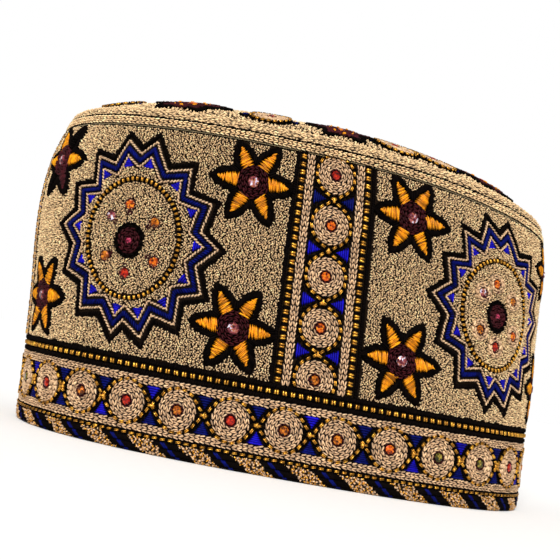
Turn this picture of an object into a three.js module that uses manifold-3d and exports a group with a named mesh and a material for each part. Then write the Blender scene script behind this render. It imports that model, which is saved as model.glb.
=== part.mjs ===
import * as THREE from "three";
import { mergeVertices } from "three/addons/utils/BufferGeometryUtils.js";
import Module from "manifold-3d";

const wasm = await Module();
wasm.setup();

// An embroidered Balochi cap: an upright oval cloth wall, a domed cloth crown, a corded welt on the
// crown's shoulder, a rolled hem and the raised embroidery of the wall.
// Millimetres, +Z up, +X along the longer way of the head, -Y is the side that the viewer sees.

// Oval of the rim, outside.
const RIM_HALF_LENGTH = 98;
const RIM_HALF_WIDTH = 73;
const RIM_SQUARENESS = 2.4;
const FRAME_SHIFT_X = 3.9;
const SEGMENTS = 52;

// Height of the seam between wall and crown at the two ends and at the two long sides.
const SEAM_HEIGHT = { left: 109, side: 110.5, right: 101.4 };
const TOP_SWAY = -7.6;
const CLOTH = 2;
const GAP = 0.3;
const TRIM_GAP = 0.45;

// How far the wall draws in from the rim's oval at a share of its height.
const WALL_SECTIONS = [
  { share: 0, left: 0, side: 0, right: 0 },
  { share: 0.4, left: -0.35, side: 1.1, right: -1.2 },
  { share: 0.7, left: -1.6, side: 3.3, right: -1.6 },
  { share: 0.88, left: 0.3, side: 4.3, right: -1.8 },
  { share: 1, left: 4.3, side: 6.9, right: -1 },
];
const OUTER_LEVELS = [0.2, 0.4, 0.55, 0.7, 0.8, 0.89, 0.95];
const INNER_LEVELS = [0.85, 0.4];

// Dome of the crown above the seam.
const DOME_RISE = 20.5;
const DOME_FULLNESS = 2.13;
const DOME_CENTRE_HEIGHT = 105.9;
const DOME_OUTER_DEGREES = [4, 10, 18, 29, 42, 60];
const DOME_INNER_DEGREES = [50, 20];

// Corded welt round the crown's shoulder: dome angle and height of each corner of its section.
const WELT_SECTION = [
  { degrees: 13.5, out: 0.35 },
  { degrees: 16, out: 1.7 },
  { degrees: 20, out: 1.7 },
  { degrees: 22.5, out: 0.35 },
  { degrees: 18, out: 0.35 },
];

// Rolled hem under the wall: distance out from the rim's oval and height of each corner.
const HEM_HEIGHT = 5.8;
const HEM_SECTION = [
  { out: 0, height: 0 },
  { out: 0.7, height: 1 },
  { out: 0.7, height: 4.9 },
  { out: 0.1, height: HEM_HEIGHT },
  { out: -2.1, height: HEM_HEIGHT },
  { out: -2.7, height: 4.9 },
  { out: -2.7, height: 1 },
  { out: -2, height: 0 },
];

// Raised roundels, a ring of them above the hem and a column of them on each of four upright bands.
const ROUNDEL_SIDES = 8;
const BORDER_COUNT = 30;
const BORDER_HEIGHT = 16.3;
const BORDER_PHASE = 0.001;
const BORDER_DRIFT = 4.2;
const BORDER_ROUNDEL = { radius: 7.9, shoulder: 6.4, thick: 1.1, stone: 1.75, table: 1, stoneTop: 2.2 };
const BAND_COUNT = 4;
const BAND_ROUNDELS = 5;
const BAND_TOP_ROUNDEL = 104.4;
const BAND_PITCH = 17.5;
const BAND_LOW = 31.4;
const BAND_HIGH = 109.4;
const BAND_ROUNDEL = { radius: 7.8, shoulder: 6.3, thick: 1.1, stone: 1.75, table: 1, stoneTop: 2.2 };
const KNOT_OVERLAP = 1;

// A fourteen-pointed medallion between neighbouring bands, with six stones round a domed core.
const DESIGN_MIDDLE = 68.5;
const MEDALLION_HEIGHT = 70.6;
const MEDALLION_NARROWING = 0.85;
const MEDALLION_POINTS = 14;
const MEDALLION_RINGS = [
  { peak: 9, valley: 9, height: 0 },
  { peak: 18, valley: 18, height: 0 },
  { peak: 27, valley: 26, height: 0 },
  { peak: 37, valley: 28.5, height: 0 },
  { peak: 36.6, valley: 28.1, height: 0.8 },
  { peak: 26, valley: 25, height: 0.8 },
  { peak: 17.5, valley: 17.5, height: 0.8 },
  { peak: 6.6, valley: 6.6, height: 0.8 },
  { peak: 6, valley: 6, height: 1.5 },
];
const MEDALLION_TOP = 2;
const MEDALLION_STONES = 6;
const MEDALLION_STONE_RING = 12.6;
const MEDALLION_STONE = { girdle: 1.9, table: 1.1, foot: 0.4, top: 2.1 };

// Four six-petalled flowers in each panel, two beside each band, a cut crystal on each.
const FLOWER_OFFSET = 0.0537;
const FLOWER_HEIGHTS = [96.2, 46.2];
const FLOWER_PETALS = 6;
const FLOWER_RINGS = [
  { peak: 14.2, valley: 7, height: 0 },
  { peak: 13.6, valley: 6.7, height: 0.7 },
  { peak: 5.2, valley: 5.2, height: 0.9 },
];
const FLOWER_TOP = 0.9;
const CRYSTAL = { girdle: 1.9, table: 1.1, foot: 0, top: 1.3 };
const STONE_FACETS = 8;

const COLOURS = {
  cloth: "#d6c7a2",
  welt: "#dccdb0",
  hem: "#2b2f77",
  roundel: "#cdb27a",
  medallion: "#26204a",
  flower: "#eb9d18",
  crystal: "#e4e8ee",
};

// The rim's oval, walked once round from its front middle toward +X.
class RimOval extends THREE.Curve {
  getPoint(t, target = new THREE.Vector3()) {
    const angle = 2 * Math.PI * (t - 0.25);
    const power = 2 / RIM_SQUARENESS;
    const x = RIM_HALF_LENGTH * Math.sign(Math.cos(angle)) * Math.abs(Math.cos(angle)) ** power;
    const y = RIM_HALF_WIDTH * Math.sign(Math.sin(angle)) * Math.abs(Math.sin(angle)) ** power;
    return target.set(x, y, 0);
  }
}

const rim = new RimOval();
rim.arcLengthDivisions = 1440;
const GIRTH = rim.getLength();

function rimPoint(girth) {
  return rim.getPointAt(((girth % 1) + 1) % 1);
}

// Value at the left end, the long sides or the right end, blended round the oval.
function aroundOval(across, row) {
  const weight = across * across;
  const end = across > 0 ? row.right : row.left;
  return row.side + (end - row.side) * weight;
}

function slopeAt(rows, index, column) {
  const before = rows[Math.max(index - 1, 0)];
  const after = rows[Math.min(index + 1, rows.length - 1)];
  return (after[column] - before[column]) / (after.share - before.share);
}

// Smooth curve through one column of the wall's sections.
function sectionValue(share, column) {
  const rows = WALL_SECTIONS;
  const place = Math.min(Math.max(share, 0), 1);
  const last = rows.length - 2;
  const found = rows.findIndex((row, index) => index > 0 && place <= row.share) - 1;
  const index = Math.min(Math.max(found, 0), last);
  const low = rows[index];
  const high = rows[index + 1];
  const span = high.share - low.share;
  const t = (place - low.share) / span;
  const rise = high[column] - low[column];
  const startSlope = slopeAt(rows, index, column) * span;
  const endSlope = slopeAt(rows, index + 1, column) * span;
  const bend = startSlope + endSlope - 2 * rise;
  return low[column] + t * (startSlope + t * (rise - startSlope - bend + t * bend));
}

function seamHeight(girth) {
  return aroundOval(rimPoint(girth).x / RIM_HALF_LENGTH, SEAM_HEIGHT);
}

function wallSkin(girth, share) {
  const point = rimPoint(girth);
  const across = point.x / RIM_HALF_LENGTH;
  const inset = aroundOval(across, {
    left: sectionValue(share, "left"),
    side: sectionValue(share, "side"),
    right: sectionValue(share, "right"),
  });
  const scale = 1 - inset / point.length();
  const height = aroundOval(across, SEAM_HEIGHT) * share;
  return new THREE.Vector3(point.x * scale + TOP_SWAY * share, point.y * scale, height);
}

function domeSkin(girth, degrees) {
  const angle = THREE.MathUtils.degToRad(degrees);
  const power = 2 / DOME_FULLNESS;
  const reach = Math.max(Math.cos(angle), 0) ** power;
  const rise = DOME_RISE * Math.sin(angle) ** power;
  const edge = wallSkin(girth, 1);
  const x = TOP_SWAY + (edge.x - TOP_SWAY) * reach;
  const height = edge.z * reach + DOME_CENTRE_HEIGHT * (1 - reach) + rise + GAP / 2;
  return new THREE.Vector3(x, edge.y * reach, height);
}

// A point off a skin along its outward normal.
function offSkin(skin, girth, along, out, step) {
  const point = skin(girth, along);
  const turn = skin(girth + 0.002, along).sub(skin(girth - 0.002, along));
  const climb = skin(girth, along + step).sub(skin(girth, along - step));
  return point.add(turn.cross(climb).normalize().multiplyScalar(out));
}

function offWall(girth, share, out) {
  return offSkin(wallSkin, girth, Math.min(Math.max(share, 0.004), 0.996), out, 0.004)
    .setZ(seamHeight(girth) * share);
}

function offDome(girth, degrees, out) {
  if (degrees > 89.9) {
    return new THREE.Vector3(TOP_SWAY, 0, DOME_CENTRE_HEIGHT + DOME_RISE + GAP / 2 + out);
  }
  if (degrees < 0.1) {
    return offWall(girth, 1, out).setZ(seamHeight(girth) + GAP / 2);
  }
  return offSkin(domeSkin, girth, degrees, out, 0.05);
}

// One closed body with merged corners, no empty triangles and its faces pointing out.
function closedBody(geometry) {
  geometry.deleteAttribute("normal");
  geometry.deleteAttribute("uv");
  const body = mergeVertices(geometry, 1e-4);
  const corners = body.getAttribute("position");
  const index = body.getIndex();
  const kept = [];
  const points = [new THREE.Vector3(), new THREE.Vector3(), new THREE.Vector3()];
  let volume = 0;
  for (let i = 0; i < index.count; i += 3) {
    const triangle = [index.getX(i), index.getX(i + 1), index.getX(i + 2)];
    if (new Set(triangle).size === 3) {
      kept.push(triangle);
      triangle.forEach((corner, k) => points[k].fromBufferAttribute(corners, corner));
      volume += points[0].dot(points[1].clone().cross(points[2]));
    }
  }
  body.setIndex(kept.flatMap(([a, b, c]) => (volume > 0 ? [a, b, c] : [a, c, b])));
  return body;
}

function carry(geometry, place) {
  const corners = geometry.getAttribute("position");
  for (let i = 0; i < corners.count; i += 1) {
    const point = place(new THREE.Vector3().fromBufferAttribute(corners, i));
    corners.setXYZ(i, point.x, point.y, point.z);
  }
  return geometry;
}

// A ring turned from a closed section, whose corners are then carried to their place on the cap.
function turnedRing(section, place) {
  const base = 10;
  const profile = section.map(([u, v]) => new THREE.Vector2(base + u, v));
  profile.push(profile[0].clone());
  const ring = new THREE.LatheGeometry(profile, SEGMENTS);
  carry(ring, (p) => place(Math.atan2(p.x, p.z) / (2 * Math.PI), Math.hypot(p.x, p.z) - base, p.y));
  return closedBody(ring);
}

function wallBody() {
  const low = (girth) => (HEM_HEIGHT + GAP) / seamHeight(girth);
  const high = (girth) => 1 - GAP / 2 / seamHeight(girth);
  const outer = [0, ...OUTER_LEVELS, 1].map((level) => [0, level]);
  const inner = [1, ...INNER_LEVELS, 0].map((level) => [-CLOTH, level]);
  return turnedRing([...outer, ...inner], (girth, out, level) =>
    offWall(girth, low(girth) + (high(girth) - low(girth)) * level, out));
}

function crownBody() {
  const outer = [0, ...DOME_OUTER_DEGREES].map((degrees) => [90 - degrees, 0]);
  const inner = [...DOME_INNER_DEGREES, 0].map((degrees) => [90 - degrees, -CLOTH]);
  const section = [[0, -CLOTH], ...inner, ...outer, [0, 0]];
  const profile = section.map(([reach, out]) => new THREE.Vector2(reach, out));
  const dome = new THREE.LatheGeometry(profile, SEGMENTS);
  carry(dome, (p) =>
    offDome(Math.atan2(p.x, p.z) / (2 * Math.PI), 90 - Math.hypot(p.x, p.z), p.y));
  return closedBody(dome);
}

function weltBody() {
  const section = WELT_SECTION.map((row) => [row.out, row.degrees]);
  return turnedRing(section, (girth, out, degrees) => offDome(girth, degrees, out));
}

function hemBody() {
  const section = HEM_SECTION.map((row) => [row.out, row.height]);
  return turnedRing(section, (girth, out, height) => offWall(girth, height / seamHeight(girth), out));
}

// A flat relief turned about its middle, its rows alternating between peaks and valleys.
// Flat reliefs lie with x along the girth, y up the wall and z out of it.
function starRelief(points, rings, top, phase) {
  const profile = rings.map((ring) => new THREE.Vector2(ring.peak, ring.height));
  const poles = [new THREE.Vector2(0, 0), ...profile, new THREE.Vector2(0, top)];
  const relief = new THREE.LatheGeometry(poles, points * 2);
  const rows = poles.length;
  const corners = relief.getAttribute("position");
  for (let i = 0; i < corners.count; i += 1) {
    const spoke = Math.floor(i / rows);
    const ring = rings[(i % rows) - 1];
    const radius = ring ? (spoke % 2 ? ring.valley : ring.peak) : 0;
    const angle = (Math.PI * spoke) / points + phase;
    corners.setXYZ(i, radius * Math.sin(angle), radius * Math.cos(angle), corners.getY(i));
  }
  return closedBody(relief);
}

function turnedBody(rows, sides) {
  const profile = rows.map(([radius, height]) => new THREE.Vector2(radius, height));
  return closedBody(new THREE.LatheGeometry(profile, sides).rotateX(Math.PI / 2));
}

function solidOf(geometry) {
  const vertProperties = new Float32Array(geometry.getAttribute("position").array);
  const triVerts = new Uint32Array(geometry.getIndex().array);
  return new wasm.Manifold(new wasm.Mesh({ numProp: 3, vertProperties, triVerts }));
}

function geometryOf(solid) {
  const mesh = solid.getMesh();
  const geometry = new THREE.BufferGeometry();
  geometry.setAttribute("position", new THREE.BufferAttribute(mesh.vertProperties, 3));
  geometry.setIndex(Array.from(mesh.triVerts));
  return closedBody(geometry);
}

// Heights above the design's middle follow the lower seam at the right end.
function designHeight(girth, height) {
  const room = (seamHeight(girth) - DESIGN_MIDDLE) / (SEAM_HEIGHT.side - DESIGN_MIDDLE);
  return height > DESIGN_MIDDLE ? DESIGN_MIDDLE + (height - DESIGN_MIDDLE) * room : height;
}

function onWall(girth, height, out) {
  return offWall(girth, designHeight(girth, height) / seamHeight(girth), out);
}

// Length of the wall's girth at a height, from a short step along it.
function girthAt(girth, height) {
  return onWall(girth + 0.005, height, 0).distanceTo(onWall(girth - 0.005, height, 0)) / 0.01;
}

function wrapOnWall(geometry, girth, height) {
  const length = girthAt(girth, height);
  carry(geometry, (p) => onWall(girth + p.x / length, height + p.y, p.z + TRIM_GAP));
  return closedBody(geometry);
}

// A stitched disc with a cut stone on it, drawn out to a knot at its two ends.
function roundelBody(size, knot) {
  const rows = [
    [0, 0],
    [size.radius, 0],
    [size.shoulder, size.thick],
    [size.stone, size.thick],
    [size.table, size.stoneTop],
    [0, size.stoneTop],
  ];
  const end = size.radius - 0.01;
  const drawOut = (p) => p.setX(Math.abs(p.x) > end ? knot * Math.sign(p.x) : p.x);
  return carry(turnedBody(rows, ROUNDEL_SIDES), drawOut);
}

// Roundels in a row, each knotted to the next.
function roundelChain(size, count, pitch) {
  const pieces = [];
  for (let i = 0; i < count; i += 1) {
    const roundel = roundelBody(size, pitch / 2 + KNOT_OVERLAP);
    pieces.push(solidOf(roundel.translate((i - (count - 1) / 2) * pitch, 0, 0)));
  }
  return pieces.reduce((whole, piece) => whole.add(piece));
}

function borderBody() {
  const pitch = GIRTH / BORDER_COUNT;
  const field = new THREE.BoxGeometry(GIRTH - GAP, 40, 20);
  const chain = roundelChain(BORDER_ROUNDEL, BORDER_COUNT, pitch).intersect(solidOf(closedBody(field)));
  const strip = geometryOf(chain);
  carry(strip, (p) => {
    const girth = BORDER_PHASE + p.x / GIRTH;
    const drift = (BORDER_DRIFT / GIRTH) * Math.sin(2 * Math.PI * girth) ** 2;
    return onWall(girth + drift, BORDER_HEIGHT + p.y, p.z + TRIM_GAP);
  });
  return closedBody(strip);
}

function bandBody(girth) {
  const middle = BAND_TOP_ROUNDEL - (BAND_PITCH * (BAND_ROUNDELS - 1)) / 2;
  const field = new THREE.BoxGeometry(BAND_HIGH - BAND_LOW, 40, 20);
  field.translate((BAND_HIGH + BAND_LOW) / 2 - middle, 0, 0);
  const chain = roundelChain(BAND_ROUNDEL, BAND_ROUNDELS, BAND_PITCH);
  const column = geometryOf(chain.intersect(solidOf(closedBody(field)))).rotateZ(Math.PI / 2);
  return wrapOnWall(column, girth, middle);
}

// A stone cut with a flat table and a ring of slanting facets.
function cutStone(size) {
  const rows = [
    [0, size.foot],
    [size.girdle, size.foot],
    [size.table, size.top],
    [0, size.top],
  ];
  return turnedBody(rows, STONE_FACETS);
}

function medallionBody(girth) {
  const phase = Math.PI / MEDALLION_POINTS;
  let whole = solidOf(starRelief(MEDALLION_POINTS, MEDALLION_RINGS, MEDALLION_TOP, phase));
  for (let i = 0; i < MEDALLION_STONES; i += 1) {
    const angle = (2 * Math.PI * i) / MEDALLION_STONES;
    const x = MEDALLION_STONE_RING * Math.sin(angle);
    const y = MEDALLION_STONE_RING * Math.cos(angle);
    const stone = cutStone(MEDALLION_STONE);
    whole = whole.add(solidOf(stone.translate(x, y, 0)));
  }
  const relief = geometryOf(whole).scale(MEDALLION_NARROWING, 1, 1);
  return wrapOnWall(relief, girth, MEDALLION_HEIGHT);
}

function flowerBody(girth, height) {
  const relief = starRelief(FLOWER_PETALS, FLOWER_RINGS, FLOWER_TOP, Math.PI / FLOWER_PETALS);
  return wrapOnWall(relief, girth, height);
}

const materials = {
  cloth: { color: COLOURS.cloth, roughness: 0.9, metalness: 0 },
  welt: { color: COLOURS.welt, roughness: 0.85, metalness: 0 },
  hem: { color: COLOURS.hem, roughness: 0.75, metalness: 0 },
  roundel: { color: COLOURS.roundel, roughness: 0.65, metalness: 0 },
  medallion: { color: COLOURS.medallion, roughness: 0.7, metalness: 0 },
  flower: { color: COLOURS.flower, roughness: 0.55, metalness: 0 },
  crystal: { color: COLOURS.crystal, roughness: 0.08, metalness: 0 },
};

const cap = new THREE.Group();
cap.position.x = FRAME_SHIFT_X;

function addPiece(name, geometry, material) {
  const mesh = new THREE.Mesh(geometry, new THREE.MeshStandardMaterial(materials[material]));
  mesh.name = name;
  cap.add(mesh);
  return mesh;
}

addPiece("wall", wallBody(), "cloth");
addPiece("crown", crownBody(), "cloth");
addPiece("crown_welt", weltBody(), "welt");
addPiece("hem_binding", hemBody(), "hem");
addPiece("border_chain", borderBody(), "roundel");

let flowerNumber = 0;
for (let i = 0; i < BAND_COUNT; i += 1) {
  const band = i / BAND_COUNT;
  addPiece(`band_chain_${i + 1}`, bandBody(band), "roundel");
  addPiece(`medallion_${i + 1}`, medallionBody(band + 0.5 / BAND_COUNT), "medallion");
  for (const side of [-FLOWER_OFFSET, FLOWER_OFFSET]) {
    for (const height of FLOWER_HEIGHTS) {
      flowerNumber += 1;
      const number = String(flowerNumber).padStart(2, "0");
      const girth = band + side;
      addPiece(`flower_${number}`, flowerBody(girth, height), "flower");
      const crystal = addPiece(`flower_stone_${number}`, cutStone(CRYSTAL), "crystal");
      const foot = onWall(girth, height, TRIM_GAP + FLOWER_TOP + GAP);
      crystal.position.copy(foot);
      const outward = onWall(girth, height, 10).sub(onWall(girth, height, 0)).normalize();
      crystal.quaternion.setFromUnitVectors(new THREE.Vector3(0, 0, 1), outward);
    }
  }
}

export default cap;
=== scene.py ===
import math

import bmesh
import bpy
import numpy as np
from bpy.props import FloatProperty, PointerProperty, StringProperty
from mathutils import Matrix, Vector


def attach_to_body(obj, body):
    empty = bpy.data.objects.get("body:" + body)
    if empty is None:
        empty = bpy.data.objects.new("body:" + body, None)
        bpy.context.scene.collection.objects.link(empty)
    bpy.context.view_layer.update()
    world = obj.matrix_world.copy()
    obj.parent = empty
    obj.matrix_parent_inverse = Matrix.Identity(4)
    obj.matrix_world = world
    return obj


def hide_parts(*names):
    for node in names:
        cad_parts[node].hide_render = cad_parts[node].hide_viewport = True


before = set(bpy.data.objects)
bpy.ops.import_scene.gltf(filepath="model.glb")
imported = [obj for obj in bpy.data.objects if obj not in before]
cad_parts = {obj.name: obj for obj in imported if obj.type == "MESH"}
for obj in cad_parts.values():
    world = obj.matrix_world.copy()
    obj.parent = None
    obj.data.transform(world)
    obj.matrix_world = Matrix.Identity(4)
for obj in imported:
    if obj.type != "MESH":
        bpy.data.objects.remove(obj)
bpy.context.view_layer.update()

bl_info = {
    "name": "Embroidered Balochi Cap",
    "version": (1, 0, 0),
    "blender": (4, 5, 0),
    "location": "3D View > Sidebar > Cap",
    "description": "Dresses an oval cloth cap with dense chain-stitch embroidery and cut stones",
    "category": "Object",
}

# Pattern sizes below are in millimetres on the flattened wall: along the girth from the front middle,
# and up from the surface that the hem rests on. On the crown they go up from its seam.

# How far the wall draws in from the rim's oval at a share of its height.
WALL_SECTIONS = {
    "share": (0.0, 0.4, 0.7, 0.88, 1.0),
    "left": (0.0, -0.35, -1.6, 0.3, 4.3),
    "side": (0.0, 1.1, 3.3, 4.3, 6.9),
    "right": (0.0, -1.2, -1.6, -1.8, -1.0),
}
# Above this height the design draws in where the seam is lower.
DESIGN_MIDDLE = 68.5
# Rows of the wall's and the crown's cloth, closer where it bends, and its face under the stitches.
WALL_ROWS = (*np.linspace(4.5, 96, 16), *np.linspace(98, 110.4, 6))
CROWN_ROWS = (*np.linspace(0, 30, 16), *np.linspace(34, 62, 8))
CLOTH_FACE = -0.25
# Steps of the tables that measure the cap's curves, and of the tests for the way its skin faces.
RIM_STEPS = 2880
SHARE_STEPS = 400
GIRTH_STEPS = 240
DOME_STEPS = 360
CLIMB_STEPS = 256
FACING_ALONG = 0.6
FACING_SHARE = 0.004
FACING_DEGREES = 0.2
# Ends of the dome's angle in degrees, and of the reach from its middle as a share, short of seam and top.
DOME_LIMITS = (0.3, 89.5)
REACH_LIMITS = (0.002, 0.999)

THREADS = ("beige_cotton", "rose_cotton", "black_cotton", "navy_silk", "ultramarine_silk", "orange_silk",
           "maroon_silk", "gold_thread")
BEIGE, ROSE, BLACK, NAVY, BLUE, ORANGE, MAROON, GOLD = THREADS
GLASSES = ("red_glass", "orange_glass", "amber_glass", "olive_glass", "aurora_glass", "magenta_glass")
RED_GLASS, ORANGE_GLASS, AMBER_GLASS, OLIVE_GLASS, AURORA_GLASS, MAGENTA_GLASS = GLASSES
# The cloth under the stitches is painted near black as the shade in the gaps between them.
CLOTHS = ("backing_cloth", "lining_cloth")
GAP_SHADE, LINING = CLOTHS
# Sizes in metres of what the materials draw: fibres, dye in thread and in cloth, painted sparkle in glass,
# floor grain.
FIBRE_WIDTH = 0.0004
DYE_PATCH = 0.0014
CLOTH_PATCH = 0.0167
GLASS_PAINTED_SPARKLE = 0.0015
FLOOR_GRAIN = 0.00333

# Stitch, height, width and thread of each line that runs round the wall above the hem.
BORDER_LINES = (
    ("rope", 30.1, 1.8, BLACK),
    ("check", 28.2, 2.0, GOLD),
    ("rope", 26.3, 1.8, BLACK),
    ("chain", 24.6, 1.6, ROSE),
    ("chain", 23.2, 1.6, ROSE),
    ("chain", 8.9, 1.6, ROSE),
    ("chain", 7.5, 1.6, ROSE),
    ("rope", 6.55, 0.9, BLACK),
    ("dash", 5.85, 0.9, GOLD),
    ("rope", 5.15, 0.9, BLACK),
)
# Stitch, distance from the band's middle, width and thread of each line that runs up an upright band.
BAND_LINES = (
    ("rope", 14.9, 1.5, BLACK),
    ("check", 12.6, 2.4, GOLD),
    ("chain", 10.45, 1.6, ROSE),
    ("chain", 9.0, 1.6, ROSE),
)
# The upright bands: their count, ends, half width, shift along, half width of their dark field, and roundels.
BAND_COUNT = 4
BAND_LOW = 31.0
BAND_HIGH = 110.2
BAND_EDGE = 15.9
BAND_SHIFT = -0.3
BAND_FIELD = 8.1
BAND_ROUNDELS = 5
BAND_TOP_ROUNDEL = 104.4
BAND_PITCH = 17.5

# The border: its roundels, their place round the girth and drift towards the ends, the heights of its dark
# field, and where the ground starts above it.
BORDER_COUNT = 30
BORDER_HEIGHT = 16.1
BORDER_PHASE = 0.55
BORDER_DRIFT = 4.2
BORDER_LOW = 9.6
BORDER_HIGH = 22.6
BORDER_TOP = 31.2
# Tip and base of a small triangle from the middle between two roundels, and half its base.
BORDER_TRIANGLE = (2.1, 6.3, 3.6)
BAND_TRIANGLE = (2.9, 7.6, 3.3)
# Half the length of the knot between two roundels, and how far its two strands spread at each end.
BORDER_KNOT = 1.7
BAND_KNOT = 1.3
KNOT_SPREAD = (0.4, 0.3)
# A roundel: radii of the eye round its stone, of its disc and of the metal cord's loop.
ROUNDEL_EYE = 2.2
ROUNDEL_DISC = 6.6
ROUNDEL_LOOP = 7.25
# Points that draw one link of the metal cords, and the pitch of their dashes.
LINK_POINTS = 48
DASH_PITCH = 2.7
# The dark stitches that lie between and under roundels.
DARK_GROUND = {"across_step": 1.5, "up_step": 1.0, "length": 2.0, "width": 1.15}

# The hand-worked star of a medallion: bearing from the top in degrees and reach, as a share of the half
# sizes, of each point and of the notch after it.
STAR_ROWS = (
    # (point bearing, point reach, notch bearing, notch reach)
    (4.6, 1.00, 22.3, 0.73),
    (36.8, 0.94, 49.1, 0.72),
    (63.1, 0.965, 79.7, 0.763),
    (90.2, 1.00, 104.7, 0.776),
    (118.1, 1.00, 129.9, 0.80),
    (142.2, 1.03, 154.4, 0.803),
    (165.5, 1.03, 177.9, 0.822),
    (185.6, 1.00, 199.8, 0.789),
    (214.7, 0.99, 228.6, 0.752),
    (243.0, 0.956, 257.8, 0.768),
    (271.7, 1.00, 283.1, 0.762),
    (297.7, 0.94, 309.8, 0.707),
    (321.4, 1.00, 332.7, 0.776),
    (344.3, 1.018, 355.2, 0.817),
)
# Satin zigzags: outer and inner share of the point, outer and inner share of the notch, thread.
STAR_ZIGZAGS = (
    (0.993, 0.945, 1.028, 0.974, BLACK),
    (0.848, 0.785, 0.884, 0.816, NAVY),
)
# Thin zigzags inside them: share of the point and of the notch.
STAR_OUTLINES = ((0.893, 0.928), (0.74, 0.77))
# A small triangle under each point: its tip and base as shares of the point, and half its base.
STAR_TRIANGLE = (0.728, 0.635, 2.5)
# Share of the points and of the notches that the ground fills inside them.
STAR_FIELD = (0.705, 0.735)
# Share of the points and of the notches that the ground leaves free outside.
STAR_CLEAR = (1.0, 1.05)
# Its middle, from halfway between two bands, and its half sizes.
STAR_MIDDLE = (0.8, 71.1)
STAR_HALF = (33.7, 37.9)
# Half sizes of its checked ring and its core, their shifts from the middle, and the core's inner rings.
STAR_RING = (17.1, 20.6)
STAR_RING_SHIFT = (-0.5, -0.8)
STAR_CORE = (5.4, 6.4)
STAR_CORE_SHIFT = (-0.9, -2.0)
STAR_HEART = 4.6
STAR_EYE = 1.4
# How far the ground stays from the checked ring, inside and outside it.
RING_CLEAR = (-1.2, 0.9)
# Offset of each stone from the core, and its glass.
STAR_STONES = (
    (-1.5, 12.4, ORANGE_GLASS),
    (8.2, 7.4, AMBER_GLASS),
    (10.0, -5.9, ORANGE_GLASS),
    (0.0, -11.3, RED_GLASS),
    (-8.2, -6.4, AMBER_GLASS),
    (-7.9, 7.6, AURORA_GLASS),
)
# A small dark bud lies at this share of the way from the core to each stone.
BUD_SHARE = 0.76

# The medallion whose stones have a ring of chain stitch, and that ring's radii.
ROSETTE_STAR = 0
ROSETTE = (2.1, 3.9)

# The flowers: distance from the band's middle, and heights.
FLOWER_OFFSET = 30.0
FLOWER_HEIGHTS = (96.2, 46.2)
# Half a petal's outline from its notch to its tip: radius and turn from the petal's middle in degrees.
PETAL_OUTSIDE = ((9.1, 30.0), (9.8, 25.0), (11.4, 19.5), (13.8, 11.0), (16.3, 0.0))
PETAL_INSIDE = ((5.6, 30.0), (6.3, 23.0), (7.9, 18.0), (10.4, 9.5), (13.1, 0.0))
# Step of a petal's threads, and how far they stop short of its tip.
PETAL_STEP = 0.5
PETAL_TIP = 0.3
# Width as a share of height, size that the ground leaves free, and radii of the heart and its eye.
FLOWER_WIDE = 0.97
FLOWER_CLEAR = 1.02
FLOWER_HEART = 5.9
HEART_EYE = 1.7
# Petal threads clockwise from the upper right, and those of the one darker flower at the left end.
PETALS = (ORANGE,) * 6
DARK_FLOWER = 14
DARK_PETALS = (BLACK, ORANGE, MAROON, BLACK, ORANGE, ORANGE)

# Glass of the roundel stones, in turn along the border and down a band.
BORDER_STONES = (AMBER_GLASS, RED_GLASS, AMBER_GLASS, RED_GLASS, AMBER_GLASS, AMBER_GLASS, ORANGE_GLASS,
                 OLIVE_GLASS, OLIVE_GLASS, RED_GLASS)
BAND_STONES = (RED_GLASS, ORANGE_GLASS, ORANGE_GLASS, ORANGE_GLASS, AMBER_GLASS)

# The crown's ring in each half of the girth: places of its flowers and of its roundels along the seam and
# up from it. The flowers are drawn wider than high, as the ring's girth is shorter than the seam's.
CROWN_FLOWERS = (-67.4, 2.5, 75.0, 141.0)
CROWN_ROUNDELS = (-31.5, 29.0, 47.5, 108.0, 174.0)
CROWN_FLOWER_UP = 18.8
CROWN_ROUNDEL_UP = 18.2
# Size of a flower against the wall's, spreads along the seam, half sizes of the dark patches, the triangles
# in them, the radius of a flower's heart, the middle star, and half sizes that hold the whole crown.
CROWN_FLOWER = 0.62
CROWN_FLOWER_SPREAD = 1.85
CROWN_SPREAD = 1.22
CROWN_PATCH = (14.2, 7.8)
CROWN_TRIANGLE = (9.6, 12.6, 2.6)
CROWN_HEART = 7.2
CROWN_STAR = (37.0, 25.0)
CROWN_HALF = (100, 75)
# The crown's edge from the seam up: a dark line, two chain rows, a black line painted as the shadow at the
# welt's foot, and the padded welt.
SEAM_LINE = -0.3
CROWN_CHAINS = (1.0, 2.45)
WELT_SHADOW_LINE = 3.55
WELT_LOW = 3.7
WELT_HIGH = 8.0
# How far the welt stands out, and how far its underside is set in and sunk.
WELT_RISE = 1.25
WELT_FOOT = (0.3, -0.35)

# The rolled hem: height, distance out and cloth, 0 for the stitched face and 1 for the lining.
HEM_SECTION = (
    (5.2, -2.4, 1), (2.2, -2.6, 1), (0.9, -2.3, 0), (0.45, -1.5, 0), (0.45, -0.8, 0), (0.75, -0.1, 0),
    (1.4, 0.2, 0), (3.6, 0.25, 0), (5.2, 0.0, 0),
)
# Its stitches start at the top, go down the face, turn under and stay clear of the floor.
HEM_TOP = 5.0
HEM_FACE = 3.4
HEM_ROUND = 1.4
HEM_DEPTH = 6.2
HEM_FLOOR = 0.05
# The hem's stripes: run along for each millimetre down, half width, thread step, place, blue part and lap.
HEM_SLANT = 1.35
STRIPE_HALF = 4.4
STRIPE_STEP = 0.8
STRIPE_PLACE = -3.4
STRIPE_BLUE = (-1.3, 0.0)
STRIPE_LAP = 0.15
# The pale field between two stripes: its start and end from them, and the step of each thread's knots.
FIELD_ENDS = (1.4, -8.2)
FIELD_THREADS = ((ROSE, 1.25), (GOLD, 1.6))

# A full strand's corners: start, left, top and right near the start, the same near the end, end.
STRAND_FACES = np.array([
    (0, 2, 1), (0, 3, 2), (0, 1, 3), (1, 2, 5), (1, 5, 4), (2, 3, 6), (2, 6, 5),
    (1, 4, 6), (1, 6, 3), (7, 4, 5), (7, 5, 6), (7, 6, 4),
])
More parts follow.
